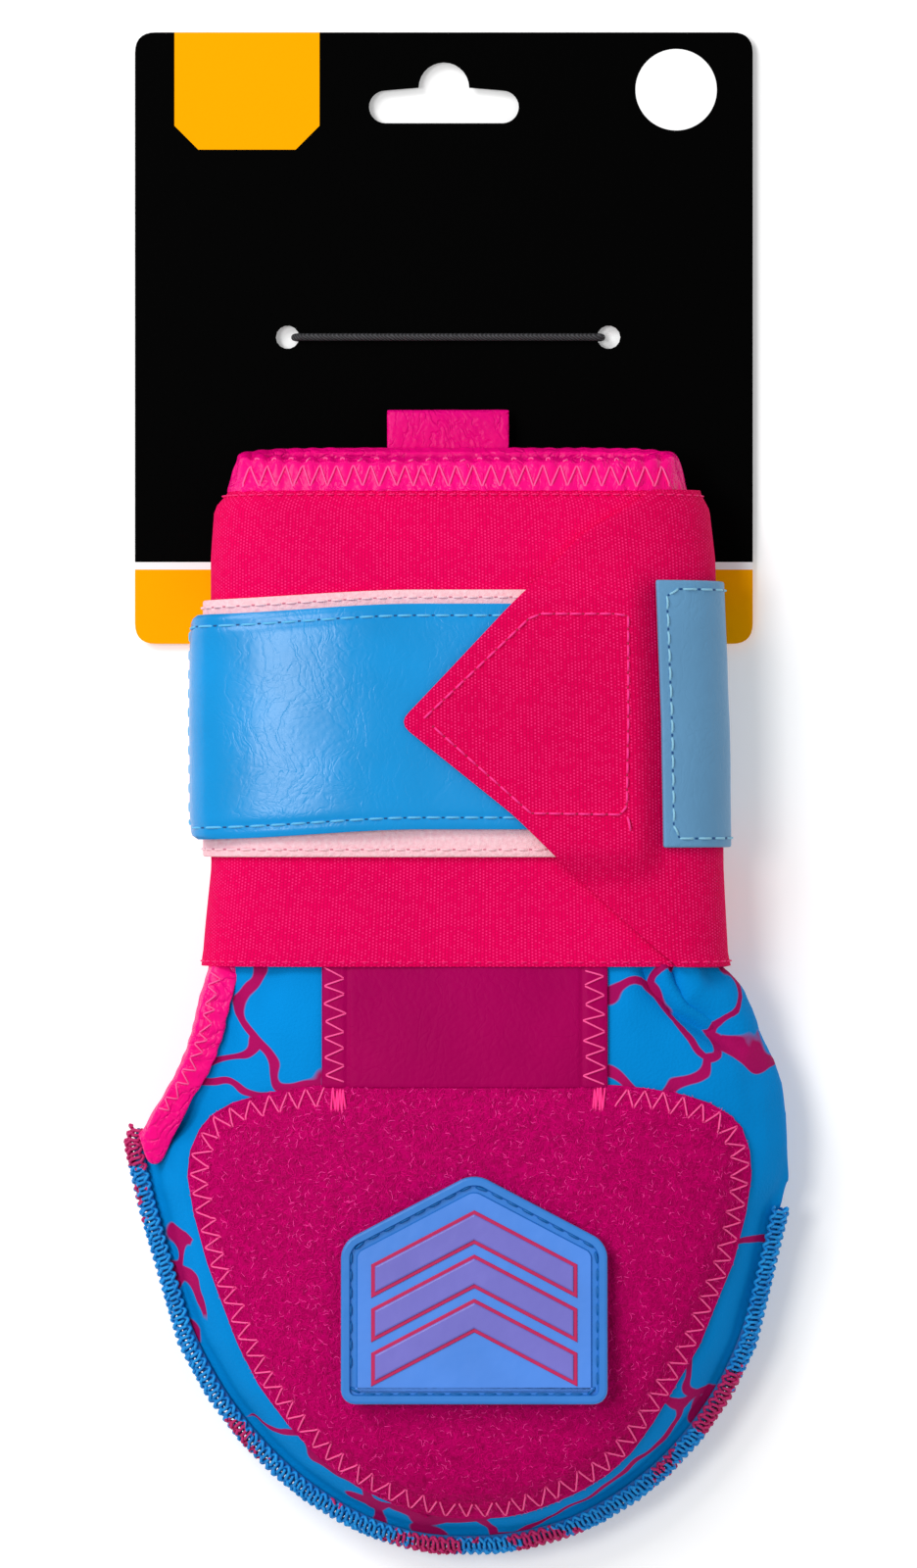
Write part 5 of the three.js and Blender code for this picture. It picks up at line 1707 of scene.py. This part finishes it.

# %% [markdown]
# The header card and the tack keep their CAD shapes. The card's print is plain blocks of colour: black, a
# white line, a yellow foot, a yellow tab and a white spot, all without words.

# %% Card finish
def card_finish():
    """Printed board: blocks of colour by place on the card."""
    material, shader = new_material("printed_card", paint(2, 2, 2), 0.5)
    tree = material.node_tree
    place = add_node(tree, "ShaderNodeTexCoord")
    parts = add_node(tree, "ShaderNodeSeparateXYZ")
    tree.links.new(place.outputs["Object"], parts.inputs[0])
    x, y = parts.outputs["X"], parts.outputs["Y"]

    def between(value, low, high):
        above = math_node(tree, "GREATER_THAN", value, low * MM)
        return math_node(tree, "MULTIPLY", above, math_node(tree, "LESS_THAN", value, high * MM))

    foot = math_node(tree, "LESS_THAN", y, 46.7 * MM)
    line = between(y, 46.7, 48.3)
    aside = math_node(tree, "ABSOLUTE", math_node(tree, "ADD", x, 45.3 * MM))
    cut_corner = math_node(tree, "GREATER_THAN", math_node(tree, "SUBTRACT", y, aside), 126.0 * MM)
    tab_rows = math_node(tree, "GREATER_THAN", y, 136.4 * MM)
    tab = math_node(tree, "MULTIPLY", between(x, -60.8, -29.8), tab_rows)
    tab = math_node(tree, "MULTIPLY", tab, cut_corner)
    spot = add_node(tree, "ShaderNodeVectorMath", operation="DISTANCE")
    flat = add_node(tree, "ShaderNodeCombineXYZ")
    tree.links.new(x, flat.inputs[0])
    tree.links.new(y, flat.inputs[1])
    tree.links.new(flat.outputs[0], spot.inputs[0])
    spot.inputs[1].default_value = (46.4 * MM, 149.2 * MM, 0)
    disc = math_node(tree, "LESS_THAN", spot.outputs["Value"], 8.7 * MM)
    fibre = add_node(tree, "ShaderNodeTexNoise", Scale=900.0, Detail=2.0)
    tree.links.new(place.outputs["Object"], fibre.inputs["Vector"])
    yellow = paint(255, 170, 0)
    shade = mix_color(tree, foot, paint(2, 2, 2), yellow)
    shade = mix_color(tree, line, shade, paint(250, 250, 250))
    shade = mix_color(tree, tab, shade, yellow)
    shade = mix_color(tree, disc, shade, paint(252, 252, 252))
    tree.links.new(shade, shader.inputs["Base Color"])
    shader.inputs["Specular IOR Level"].default_value = 0.01
    bump(tree, fibre.outputs["Fac"], 0.03)
    return material


def tack_finish():
    """Clear plastic tack."""
    material, shader = new_material("tack_plastic", paint(225, 228, 230), 0.25)
    tree = material.node_tree
    place = add_node(tree, "ShaderNodeTexCoord")
    haze = add_node(tree, "ShaderNodeTexNoise", Scale=700.0)
    tree.links.new(place.outputs["Object"], haze.inputs["Vector"])
    bump(tree, haze.outputs["Fac"], 0.03)
    shader.inputs["Coat Weight"].default_value = 0.5
    return material


for node, finish in (("header_card", card_finish()), ("card_tack", tack_finish())):
    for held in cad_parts[node].material_slots:
        held.material = finish
print("card and tack finished")

# %% Card tie
TIE_ROW, TIE_LEFT, TIE_RIGHT = 96.3, -33.7, 29.1
TIE_BEND, TIE_LEVEL = 1.4, 2.2


def cord_finish():
    """Black braided elastic cord."""
    material, shader = new_material("black_cord", paint(34, 34, 36), 0.6)
    tree = material.node_tree
    place = add_node(tree, "ShaderNodeTexCoord")
    braid = add_node(tree, "ShaderNodeTexWave", Scale=700.0, Distortion=3.0, bands_direction="DIAGONAL")
    tree.links.new(place.outputs["Object"], braid.inputs["Vector"])
    shade = mix_color(tree, braid.outputs["Fac"], paint(20, 20, 22), paint(64, 64, 68))
    tree.links.new(shade, shader.inputs["Base Color"])
    bump(tree, braid.outputs["Fac"], 0.15)
    return material


tie_points = []
for k in range(13):
    turn = math.pi * (k / 12 - 0.5)
    tie_points.append((TIE_RIGHT + TIE_BEND * math.cos(turn), TIE_ROW, TIE_LEVEL + TIE_BEND * math.sin(turn)))
for k in range(13):
    turn = math.pi * (k / 12 + 0.5)
    tie_points.append((TIE_LEFT + TIE_BEND * math.cos(turn), TIE_ROW, TIE_LEVEL + TIE_BEND * math.sin(turn)))
tie_points.append(tie_points[0])
card_tie = sew("tie_cord", [tie_points], 0.8, cord_finish(), ["card_tie"])
card_tie.data.bevel_resolution = 3
print("tie", round(TIE_RIGHT - TIE_LEFT, 1), "mm between the holes")

# %% Finish
bpy.context.view_layer.update()
